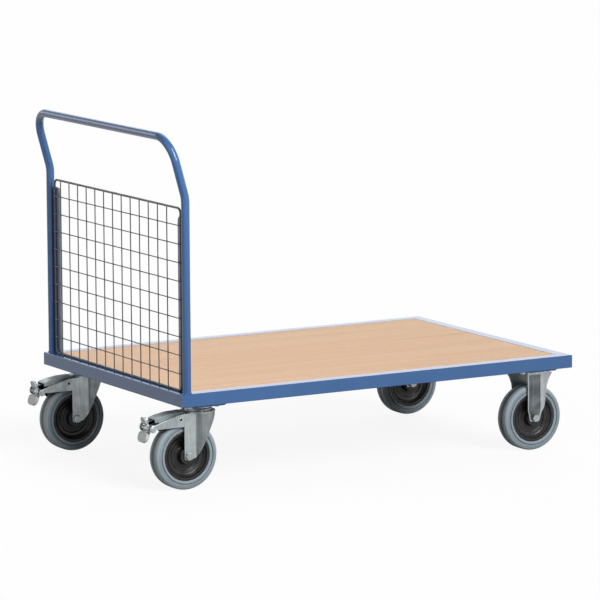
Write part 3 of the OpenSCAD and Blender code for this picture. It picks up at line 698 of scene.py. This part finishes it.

# --------------------------------------------------
# Swivel forks: each pressed from one zinc-plated sheet, with a round crown, two
# legs and two arms that run back to the brake pedal; edges are blanked and carry a painted
# highlight.
# The round front beyond the legs' fold is painted darker than the flat of the legs, as painted
# shade.
# --------------------------------------------------
FORK_EDGE = 0.7 * MM
ROUND_SHADE_DARK = (0.146, 0.166, 0.172, 1)
ROUND_SHADE_LIGHT = (0.330, 0.362, 0.371, 1)
ROUND_SHADE_ZINC = zinc_plate("painted_shade_round_zinc", ROUND_SHADE_DARK, ROUND_SHADE_LIGHT)
FOLD_X = -22 * MM
UPRIGHT = 0.4
WIDE_FACE = 4 * MM * MM
PIN_EDGE = 0.4 * MM
PIN_BORE_R = 2.6 * MM
# Painted shade: the inside of the hollow brake pins is near-black.
BORE_SHADE_BLACK = (0.006, 0.006, 0.006, 1)
BORE_SHADE_BROWN = (0.020, 0.017, 0.014, 1)
BORE_SHADE = mottled("painted_shade_bore", BORE_SHADE_BLACK, BORE_SHADE_BROWN, scale=300, detail=2, rough=(0.7, 0.9), IOR=1.3)
for side in SIDES:
    node = f"{side}_swivel_fork"
    fork = softened(node, f"{side}_pressed_swivel_fork", FORK_EDGE, ZINC)
    fork.data.materials.append(ROUND_SHADE_ZINC)
    fold_x = middle_of(f"{side}_kingpin").x + FOLD_X
    # Painted shade: the wide upright faces of the round front take the darker zinc.
    for face in fork.data.polygons:
        if face.center.x > fold_x and abs(face.normal.z) < UPRIGHT and face.area > WIDE_FACE:
            face.material_index = 1
    fix(fork, f"{side}_swivel", "zinc", node)
    node = f"{side}_brake_pins"
    pins = softened(node, f"{side}_brake_pivot_pins", PIN_EDGE, ZINC)
    pins.data.materials.append(BORE_SHADE)
    between_x = middle_of(node).x
    hollow = [v.co for v in pins.data.vertices if v.co.x > between_x]
    pin_x = (min(p.x for p in hollow) + max(p.x for p in hollow)) / 2
    pin_z = (min(p.z for p in hollow) + max(p.z for p in hollow)) / 2
    # Faces inside the pin's bore take the painted shade.
    for face in pins.data.polygons:
        if math.hypot(face.center.x - pin_x, face.center.z - pin_z) < PIN_BORE_R:
            face.material_index = 1
    fix(pins, f"{side}_swivel", "zinc", node)

# --------------------------------------------------
# Brake levers: inverted channels of darker steel over the wheel, with a rubber
# shoe riveted underneath. They hang on the hollow pins of the fork.
# --------------------------------------------------
LEVER_DULL = (0.220, 0.262, 0.280, 1)
LEVER_BRIGHT = (0.335, 0.388, 0.406, 1)
SHOE_BLACK = (0.016, 0.016, 0.017, 1)
SHOE_DUST = (0.045, 0.044, 0.043, 1)
LEVER_EDGE = 0.9 * MM
SHOE_EDGE = 0.8 * MM
# The lever steel carries a weaker painted edge highlight.
LEVER = zinc_plate("dark_lever_steel", LEVER_DULL, LEVER_BRIGHT, painted_edge_highlight=0.7, metal=0.15)
SHOE = mottled("shoe_rubber", SHOE_BLACK, SHOE_DUST, scale=120, detail=4, middle=(0.4, 0.75),
               rough=(0.6, 0.85), grain={"scale": 1400, "detail": 2, "strength": 0.3}, IOR=1.5)
for side in SIDES:
    body = f"{side}_lever"
    node = f"{side}_brake_lever"
    channel = softened(node, f"{side}_brake_channel", LEVER_EDGE, LEVER, steps=3)
    fix(channel, body, "lever_steel", node)
    node = f"{side}_brake_shoe"
    fix(softened(node, f"{side}_brake_block", SHOE_EDGE, SHOE), body, "shoe_rubber", node)

# --------------------------------------------------
# Brake pedals: zinc-plated rockers on the rear pin, with grey moulded covers
# pushed over the press plate and the release tab.
# --------------------------------------------------
PAD_DARK = (0.520, 0.555, 0.565, 1)
PAD_LIGHT = (0.600, 0.635, 0.645, 1)
ROCKER_EDGE = 0.5 * MM
PAD_EDGE = 1.8 * MM
PAD = mottled("grey_moulding", PAD_DARK, PAD_LIGHT, scale=70, rough=(0.42, 0.55),
              grain={"scale": 1500, "detail": 2, "strength": 0.25}, IOR=1.48)
for side in SIDES:
    body = f"{side}_pedal"
    node = f"{side}_brake_pedal"
    fix(softened(node, f"{side}_pedal_rocker", ROCKER_EDGE, ZINC), body, "zinc", node)
    node = f"{side}_pedal_pads"
    covers = softened(node, f"{side}_pedal_covers", PAD_EDGE, PAD, steps=4)
    fix(covers, body, "pad_plastic", node)

# --------------------------------------------------
# Wheels: grey elastic tyre moulded on a black plastic centre with a dished web
# and a hub boss, and a roller-bearing sleeve pressed in the hub.
# --------------------------------------------------
WHEEL_STEPS = 128
RUBBER_DARK = (0.214, 0.270, 0.307, 1)
RUBBER_PALE = (0.270, 0.328, 0.364, 1)
RUBBER_SCUFF = (0.330, 0.375, 0.400, 1)
RUBBER_PAINTED_LIGHT = (0.385, 0.452, 0.495, 1)
RUBBER_SOIL_AND_SHADE = (0.112, 0.119, 0.123, 1)
TREAD_R = 85 * MM
TREAD_HALF = 7 * MM
SHOULDER_R = 83 * MM
GROOVE_R = (72.95 * MM, 76.25 * MM)
GROOVE_FLOOR = 22.5 * MM
SOILED, GROOVE_PAINTED_SHADE = 1.0, 0.4
SHOULDER_PAINTED_LIGHT, LIP_PAINTED_LIGHT = -1.0, -0.3
FLANK_R, FLANK_Y = 79.0, 24.0
SHOULDER_RISE, SHOULDER_IN = 10.9, 11.0
SHOULDER_STEPS = 10
PLASTIC_BLACK = (0.011, 0.0105, 0.011, 1)
PLASTIC_WORN = (0.025, 0.023, 0.023, 1)


def turned(name, section, centre, finish, crease=30):
    """A closed section of (radius, offset) in millimetres, turned about the wheel's axle."""
    bm = bmesh.new()
    rings = []
    for step in range(WHEEL_STEPS):
        angle = 2 * math.pi * step / WHEEL_STEPS
        out = Vector((math.cos(angle), 0, math.sin(angle)))
        rings.append([bm.verts.new(centre + out * r * MM + Y_AXIS * y * MM) for r, y in section])
    for step in range(WHEEL_STEPS):
        first, second = rings[step], rings[(step + 1) % WHEEL_STEPS]
        for i in range(len(section)):
            j = (i + 1) % len(section)
            bm.faces.new((first[i], first[j], second[j], second[i]))
    piece = new_piece(name, from_bmesh(name, bm), finish)
    weigh(piece, crease)
    return piece


def both_faces(half):
    """A half section, mirrored to the wheel's other face and closed."""
    return half + [(r, -y) for r, y in reversed(half)]


def tyre_section():
    """Lip, moulded groove, flank, round shoulder and tread."""
    half = [(66.05, 21.6), (66.5, 22.8), (67.6, 23.6), (69.2, 24.0), (72.4, 24.0), (72.9, 23.7),
            (73.4, 21.8), (74.0, 21.2), (75.2, 21.2), (75.8, 21.8), (76.3, 23.7), (76.8, 24.0),
            (FLANK_R, FLANK_Y)]
    for i in range(1, SHOULDER_STEPS + 1):
        angle = math.radians(90 * i / SHOULDER_STEPS)
        half.append((FLANK_R + SHOULDER_RISE * math.sin(angle),
                     FLANK_Y - SHOULDER_IN + SHOULDER_IN * math.cos(angle)))
    return both_faces(half + [(89.92, 12.3), (89.95, 7.6), (89.96, 6.6), (90.0, 3), (90.0, 1.0)])


def mark_soil_and_painted_light(tyre, centre):
    """Stores where the tread is soiled and where painted shade darkens the groove (above 0), and
    where painted light lightens shoulder and lip (below 0).
    """
    marks = []
    for vert in tyre.data.vertices:
        away = vert.co - centre
        offset = abs(away.y)
        away.y = 0
        radius = away.length
        if radius > TREAD_R and offset < TREAD_HALF:
            marks.append(SOILED)
        # Painted shade in the moulded groove.
        elif GROOVE_R[0] < radius < GROOVE_R[1] and offset < GROOVE_FLOOR:
            marks.append(GROOVE_PAINTED_SHADE)
        # Painted light on the shoulder and, more weakly, on the lip.
        elif radius > SHOULDER_R:
            marks.append(SHOULDER_PAINTED_LIGHT)
        else:
            marks.append(LIP_PAINTED_LIGHT if radius < GROOVE_R[0] else 0.0)
    tyre.data.attributes.new("soil_and_painted_light", "FLOAT", "POINT").data.foreach_set("value", marks)


def centre_section():
    """Hub boss, dished web and rim."""
    half = [(11.05, 26.6), (11.6, 27.0), (20.0, 27.0), (20.8, 26.5), (21.1, 25.6), (21.9, 12.0),
            (22.6, 9.4), (24.2, 7.8), (26.8, 7.0), (37.4, 6.6), (39.4, 6.8), (40.6, 7.5),
            (41.4, 8.8), (42.4, 9.6), (44.0, 9.9), (47.6, 10.1), (49.8, 10.7), (51.4, 11.9),
            (56.6, 17.0), (57.8, 18.8), (58.4, 20.8), (59.0, 21.6), (60.2, 22.0), (64.6, 22.0),
            (65.6, 21.6), (66.0, 20.8)]
    return both_faces(half)


def sleeve_section():
    """Bearing sleeve with a groove in its end."""
    half = [(6.05, 26.0), (6.5, 26.6), (8.2, 26.6), (8.4, 26.1), (9.2, 26.1), (9.4, 26.8),
            (10.6, 26.8), (11.0, 26.4)]
    return both_faces(half)


def grey_tyre_rubber():
    """Grey elastic rubber: cloudy, a dusty bloom, fine mould texture."""
    finish, tree, shader, place = new_finish("grey_tyre_rubber", IOR=1.36)
    clouds = spread(tree, noise(tree, place, scale=26, detail=4), *MIDDLE)
    base = blend_colour(tree, clouds, RUBBER_DARK, RUBBER_PALE)
    scuffs = noise(tree, place, scale=240, detail=4, rough=0.65)
    scuffs = spread(tree, scuffs, 0.56, 0.78, to_high=0.45)
    base = blend_colour(tree, scuffs, base, RUBBER_SCUFF)
    soil_and_painted_light = add(tree, "ShaderNodeAttribute", attribute_name="soil_and_painted_light").outputs["Fac"]
    # Painted light: shoulder and lip are lightened towards a paler grey.
    painted_light_share = spread(tree, soil_and_painted_light, 0, SHOULDER_PAINTED_LIGHT, to_high=0.8)
    base = blend_colour(tree, painted_light_share, base, RUBBER_PAINTED_LIGHT)
    # Tread dirt, and painted shade in the groove, darken the rubber.
    patchy = spread(tree, clouds, 0, 1, to_low=1, to_high=0.86)
    soil_and_shade = add(tree, "ShaderNodeMath", {0: spread(tree, soil_and_painted_light, 0, SOILED), 1: patchy},
                 operation="MULTIPLY").outputs[0]
    colour_by(tree, shader, soil_and_shade, base, RUBBER_SOIL_AND_SHADE)
    rough_by(tree, shader, clouds, 0.50, 0.66)
    bumps(tree, shader, noise(tree, place, scale=1100, detail=3), strength=0.18, depth=0.3 * MM)
    return finish


RUBBER = grey_tyre_rubber()
PLASTIC = mottled("black_moulding", PLASTIC_BLACK, PLASTIC_WORN, scale=45, detail=4,
                  middle=(0.35, 0.75), rough=(0.26, 0.40),
                  grain={"scale": 900, "detail": 2, "strength": 0.08}, IOR=1.42)
for side in SIDES:
    for end in ENDS:
        body = f"{side}_{end}_roller"
        centre = middle_of(f"{side}_{end}_tyre")
        for part, slot, name, section, finish in (
            ("tyre", "tyre_rubber", "elastic_tyre", tyre_section(), RUBBER),
            ("wheel", "wheel_plastic", "wheel_centre", centre_section(), PLASTIC),
            ("bearing", "zinc", "bearing_sleeve", sleeve_section(), ZINC),
        ):
            piece = turned(f"{side}_{end}_{name}", section, centre, finish)
            if part == "tyre":
                mark_soil_and_painted_light(piece, centre)
            fix(piece, body, slot, f"{side}_{end}_{part}")

# --------------------------------------------------
# Fixed forks: one zinc-plated pressing each, a top plate and two legs with a
# sunk panel. Panels and inner faces are painted darker than the rim as painted shade; the rim
# carries a painted edge highlight.
# --------------------------------------------------
PANEL_SHADE_DARK = (0.028, 0.034, 0.041, 1)
PANEL_SHADE_LIGHT = (0.205, 0.228, 0.246, 1)
PANEL_Y = 30.3 * MM
PANEL_NEAR = 0.2 * MM
PANEL_FACING = 0.95
PANEL_SHADE = zinc_plate("painted_shade_panel_zinc", PANEL_SHADE_DARK, PANEL_SHADE_LIGHT, painted_edge_highlight=0.0)
INNER_SHADE_DARK = (0.165, 0.184, 0.190, 1)
INNER_SHADE_LIGHT = (0.315, 0.342, 0.348, 1)
INNER_SIDE = 5 * MM
INNER_SHADE = zinc_plate("painted_shade_inner_zinc", INNER_SHADE_DARK, INNER_SHADE_LIGHT)
for side in SIDES:
    node = f"{side}_fixed_fork"
    fork = softened(node, f"{side}_pressed_fixed_fork", FORK_EDGE, ZINC)
    fork.data.materials.append(PANEL_SHADE)
    fork.data.materials.append(INNER_SHADE)
    middle_y = middle_of(f"{side}_fixed_tyre").y
    # Painted shade: inner faces and the sunk panels take darker zinc.
    for face in fork.data.polygons:
        offset = face.center.y - middle_y
        sunk = abs(abs(offset) - PANEL_Y) < PANEL_NEAR
        if face.normal.y * offset < -INNER_SIDE:
            face.material_index = 2
        elif sunk and abs(face.normal.y) > PANEL_FACING:
            face.material_index = 1
    fix(fork, "frame", "zinc", node)

# --------------------------------------------------
# Hexagon bolts and nuts: zinc-plated, chamfered. Axle bolts go through fork and
# bearing; caster bolts go up through the top plates and the mounting plates.
# --------------------------------------------------
CORNER_PER_FLAT = 1.155
BOLT_R = 4 * MM
BOLT_HEX_R = 6.5 * MM * CORNER_PER_FLAT
BOLT_HEAD_H = 5.3 * MM
BOLT_NUT_H = 6.5 * MM
BOLT_HALF_X = 40 * MM
BOLT_HALF_Y = 30 * MM
AXLE_R = 6 * MM
AXLE_HEX_R = 9 * MM * CORNER_PER_FLAT
AXLE_HEAD_H = 7.5 * MM
BORE_PLAY = 0.05 * MM
CHAMFER = 1.0 * MM
CHAMFERED = 0.86  # of the hexagon's width
NEAR_MIDDLE = 0.1 * MM
UPWARD = (0, 0, 0)
ALONG_AXLE = (-math.pi / 2, 0, 0)


def chamfered_hex(tree, radius, height, face):
    """A hexagon prism from Z = 0 to its height, with one face chamfered."""
    prism = tree.node("MeshCylinder", {
        "Vertices": 6, "Side Segments": 2, "Radius": radius, "Depth": height}).outputs
    place = tree.node("InputPosition").outputs[0]
    level = add(tree.tree, "ShaderNodeSeparateXYZ", {0: place}).outputs["Z"]
    middle = tree.math("LESS_THAN", tree.math("ABSOLUTE", level, 0.0), NEAR_MIDDLE)
    half = tree.math("MULTIPLY", height, 0.5)
    toward = tree.math("SUBTRACT", half, tree.size("chamfer"))
    toward = tree.math("MULTIPLY", toward, -1.0 if face == "Bottom" else 1.0)
    moved = tree.node("SetPosition", {
        "Geometry": prism["Mesh"], "Selection": middle, "Offset": tree.upright(toward)})
    cut = tree.node("ScaleElements", {
        "Geometry": moved.outputs[0], "Selection": prism[face], "Scale": CHAMFERED})
    return tree.lift(cut.outputs[0], half)


def hex_bolt():
    """Hexagon head, its face at Z = 0, and a round shank."""
    tree = Growth("hex_bolt", hex_r="float", head_h="float", shank_r="float", shank_l="float",
                  chamfer="float", turn="vector")
    head = chamfered_hex(tree, tree.size("hex_r"), tree.size("head_h"), "Bottom")
    return tree.on_points(tree.join(head, tree.shank(24)), tree.size("turn"))


def hex_nut():
    """Hexagon from Z = 0 up, with a round bore."""
    tree = Growth("hex_nut", hex_r="float", height="float", bore="float", chamfer="float",
                  turn="vector")
    bored = tree.cut(chamfered_hex(tree, tree.size("hex_r"), tree.size("height"), "Top"))
    right_through = tree.math("MULTIPLY", tree.size("height"), 4.0)
    drill = tree.node("MeshCylinder", {
        "Vertices": 24, "Radius": tree.size("bore"), "Depth": right_through})
    tree.tree.links.new(drill.outputs["Mesh"], bored.inputs["Mesh 2"])
    return tree.on_points(bored.outputs[0], tree.size("turn"))


BOLT = hex_bolt()
NUT = hex_nut()
bolt_low, bolt_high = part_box("caster_bolts")
nut_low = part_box("caster_nuts")[0]
bolt_spots = []
for side in SIDES:
    for plate in ("swivel_plate", "fixed_mount"):
        x, y, _ = middle_of(f"{side}_{plate}")
        bolt_spots += [(x + along, y + over) for along in (-BOLT_HALF_X, BOLT_HALF_X)
                       for over in (-BOLT_HALF_Y, BOLT_HALF_Y)]
bolt_places = points("bolt_places", [(x, y, bolt_low.z) for x, y in bolt_spots])
bolts = BOLT.grow("caster_hex_bolts", bolt_places, ZINC, hex_r=BOLT_HEX_R, head_h=BOLT_HEAD_H,
                  shank_r=BOLT_R, shank_l=bolt_high.z - bolt_low.z - BOLT_HEAD_H,
                  chamfer=CHAMFER, turn=UPWARD)
fix(bolts, "frame", "zinc", "caster_bolts")
nut_places = points("nut_places", [(x, y, nut_low.z) for x, y in bolt_spots])
nuts = NUT.grow("caster_hex_nuts", nut_places, ZINC, hex_r=BOLT_HEX_R, height=BOLT_NUT_H,
                bore=BOLT_R + BORE_PLAY, chamfer=CHAMFER, turn=UPWARD)
fix(nuts, "frame", "zinc", "caster_nuts")
for side in SIDES:
    for end, body in (("swivel", f"{side}_swivel"), ("fixed", "frame")):
        node = f"{side}_{end}_axle"
        low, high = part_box(node)
        x, _, z = middle_of(node)
        axle_place = points("axle_place", [(x, low.y, z)])
        axle = BOLT.grow(f"{side}_{end}_axle_bolt", axle_place, ZINC, hex_r=AXLE_HEX_R,
                         head_h=AXLE_HEAD_H, shank_r=AXLE_R,
                         shank_l=high.y - low.y - AXLE_HEAD_H, chamfer=CHAMFER, turn=ALONG_AXLE)
        fix(axle, body, "zinc", node)
        node = f"{side}_{end}_axle_nut"
        low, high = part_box(node)
        nut_place = points("axle_nut_place", [(x, low.y, z)])
        nut = NUT.grow(f"{side}_{end}_lock_nut", nut_place, ZINC, hex_r=AXLE_HEX_R,
                       height=high.y - low.y, bore=AXLE_R + BORE_PLAY, chamfer=CHAMFER,
                       turn=ALONG_AXLE)
        fix(nut, body, "zinc", node)

# --------------------------------------------------
# Stage: a wide white floor that keeps a soft shadow, under a white surround that
# falls off overhead and towards the dim room behind the photographer's left.
# --------------------------------------------------
FLOOR_HALF = 60.0
FLOOR_SHADE = 0.10
BOUNCE_GREY = (0.24, 0.24, 0.24, 1)
WHITE = (1, 1, 1, 1)
DIM_SPOT = (-1.25, -1.20, 0)
DIM_FROM, DIM_TO, DIM_LEVEL = 0.5, 1.2, 0.2
DECK_MIDDLE = ((HANDLE_X + FRONT_X) / 2, 0, 0)
DECK_HALF = ((FRONT_X - HANDLE_X) / 2, LEFT_Y, 1)
DECK_SHADOW_FROM, DECK_SHADOW_TO, DECK_SHADOW_LEVEL = 0.80, 1.25, 0.3
AMBIENT = 0.09
OVERHEAD_FROM, OVERHEAD_TO, OVERHEAD_LEVEL = 0.15, 0.70, 0.45
ROOM_TOWARDS = (-0.60, -0.80, 0)
ROOM_FROM, ROOM_TO, ROOM_LEVEL = 0.72, 0.95, 0.25


def reckon(tree, operation, first, second):
    return add(tree, "ShaderNodeMath", {0: first, 1: second}, operation=operation).outputs[0]


def vector(tree, operation, first, second):
    return add(tree, "ShaderNodeVectorMath", {0: first, 1: second}, operation=operation).outputs


def ray_kinds(tree):
    """1 for camera rays, and 1 for glossy and transmission rays."""
    path = add(tree, "ShaderNodeLightPath").outputs
    mirrored = reckon(tree, "MAXIMUM", path["Is Glossy Ray"], path["Is Transmission Ray"])
    return path["Is Camera Ray"], mirrored


floor_finish = bpy.data.materials.new("white_floor")
floor_finish.use_nodes = True
tree = floor_finish.node_tree
tree.nodes.clear()
straight, mirrored = ray_kinds(tree)
place = add(tree, "ShaderNodeTexCoord").outputs["Object"]
away = vector(tree, "DISTANCE", place, DIM_SPOT)["Value"]
dim = spread(tree, away, DIM_FROM, DIM_TO, DIM_LEVEL, 1.0)
# Painted shadow: for mirrored rays the floor is darker under the deck's footprint.
from_middle = vector(tree, "SUBTRACT", place, DECK_MIDDLE)[0]
share = vector(tree, "DIVIDE", from_middle, DECK_HALF)[0]
share = add(tree, "ShaderNodeVectorMath", {0: share}, operation="ABSOLUTE").outputs[0]
share = add(tree, "ShaderNodeSeparateXYZ", {0: share}).outputs
outward = reckon(tree, "MAXIMUM", share["X"], share["Y"])
under = spread(tree, outward, DECK_SHADOW_FROM, DECK_SHADOW_TO, DECK_SHADOW_LEVEL, 1.0)
dim = reckon(tree, "MINIMUM", dim, under)
level = reckon(tree, "MAXIMUM", straight, dim)
glow = add(tree, "ShaderNodeEmission", {"Color": WHITE, "Strength": level}).outputs[0]
shade = add(tree, "ShaderNodeBsdfDiffuse", {"Color": WHITE}).outputs[0]
shown = add(tree, "ShaderNodeMixShader", {0: FLOOR_SHADE, 1: glow, 2: shade}).outputs[0]
grey = add(tree, "ShaderNodeBsdfDiffuse", {"Color": BOUNCE_GREY}).outputs[0]
seen = reckon(tree, "MAXIMUM", straight, mirrored)
both = add(tree, "ShaderNodeMixShader", {0: seen, 1: grey, 2: shown}).outputs[0]
add(tree, "ShaderNodeOutputMaterial", {"Surface": both})
bm = bmesh.new()
bmesh.ops.create_grid(bm, x_segments=8, y_segments=8, size=FLOOR_HALF)
floor = new_piece("studio_floor", from_bmesh("studio_floor", bm), floor_finish)

world = bpy.data.worlds.new("white_surround")
bpy.context.scene.world = world
world.use_nodes = True
tree = world.node_tree
straight, mirrored = ray_kinds(tree)
place = add(tree, "ShaderNodeTexCoord").outputs["Generated"]
height = add(tree, "ShaderNodeSeparateXYZ", {0: place}).outputs["Z"]
overhead = spread(tree, height, OVERHEAD_FROM, OVERHEAD_TO, 1.0, OVERHEAD_LEVEL)
towards_room = vector(tree, "DOT_PRODUCT", place, ROOM_TOWARDS)["Value"]
dim = spread(tree, towards_room, ROOM_FROM, ROOM_TO, 1.0, ROOM_LEVEL)
mirror_level = reckon(tree, "MULTIPLY", overhead, dim)
level = add(tree, "ShaderNodeMix", {0: mirrored, 2: AMBIENT, 3: mirror_level},
            data_type="FLOAT").outputs[0]
surround = tree.nodes["Background"]
surround.inputs["Color"].default_value = WHITE
tree.links.new(reckon(tree, "MAXIMUM", level, straight), surround.inputs["Strength"])

# --------------------------------------------------
# Lamps: six wide soft lights round the truck, the strongest in front of it, and
# one small disk near the handle for the glint on its near bend.
# --------------------------------------------------
SUNS = (  # name, side it comes from, strength, width in degrees
    ("front_light", (0.13, -0.82, 0.56), 2.25, 30),
    ("glint_light", (0.20, -0.90, 0.42), 0.45, 14),
    ("right_rim_light", (0.45, 0.85, 0.22), 0.25, 45),
    ("left_rim_light", (-0.42, 0.88, 0.18), 0.22, 24),
    ("left_fill_light", (-0.82, -0.38, 0.42), 0.5, 60),
    ("top_light", (0.46, 0.56, 0.69), 1.1, 60),
)
LAMP_AT = Vector((-0.465, -0.935, 0.99))
LAMP_TO = Vector((-0.585, -0.365, 0.87))
LAMP_WIDTH = 0.24
LAMP_POWER = 1.8


def hang(name, light, source):
    lamp = bpy.data.objects.new(name, light)
    lamp.rotation_euler = source.to_track_quat("Z", "Y").to_euler()
    bpy.context.scene.collection.objects.link(lamp)
    return lamp


for name, source, strength, width in SUNS:
    light = bpy.data.lights.new(name, "SUN")
    light.energy = strength
    light.angle = math.radians(width)
    hang(name, light, Vector(source))
light = bpy.data.lights.new("handle_lamp", "AREA")
light.shape = "DISK"
light.size = LAMP_WIDTH
light.energy = LAMP_POWER
handle_lamp = hang("handle_lamp", light, LAMP_AT - LAMP_TO)
handle_lamp.location = LAMP_AT
handle_lamp.visible_camera = False

# --------------------------------------------------
# Camera: a long lens from far off, a little above the handle, on the truck's
# right. Place, turn and lens were fitted to the platform's edges in the photo.
# --------------------------------------------------
CAMERA_AT = Vector((-5.587156, -9.79804, 2.13913))
CAMERA_YAW = math.radians(29.78)
CAMERA_PITCH = math.radians(8.70)
CAMERA_ROLL = math.radians(-0.30)
SENSOR_MM = 36
FOCAL_PIXELS = 4204.79
PICTURE_PIXELS = 600
SIGHT_END = 200
camera_data = bpy.data.cameras.new("long_lens")
camera_data.sensor_width = SENSOR_MM
camera_data.lens = SENSOR_MM * FOCAL_PIXELS / PICTURE_PIXELS
camera_data.clip_end = SIGHT_END
camera = bpy.data.objects.new("long_lens", camera_data)
ahead = Vector((math.sin(CAMERA_YAW) * math.cos(CAMERA_PITCH),
                math.cos(CAMERA_YAW) * math.cos(CAMERA_PITCH), -math.sin(CAMERA_PITCH)))
level_right = Vector((math.cos(CAMERA_YAW), -math.sin(CAMERA_YAW), 0))
level_up = level_right.cross(ahead)
lens_right = math.cos(CAMERA_ROLL) * level_right + math.sin(CAMERA_ROLL) * level_up
lens_up = math.cos(CAMERA_ROLL) * level_up - math.sin(CAMERA_ROLL) * level_right
camera_turn = Matrix((lens_right, lens_up, -ahead)).transposed()
camera.matrix_world = Matrix.Translation(CAMERA_AT) @ camera_turn.to_4x4()
bpy.context.scene.collection.objects.link(camera)
bpy.context.scene.camera = camera
bpy.context.scene.view_settings.view_transform = "Standard"
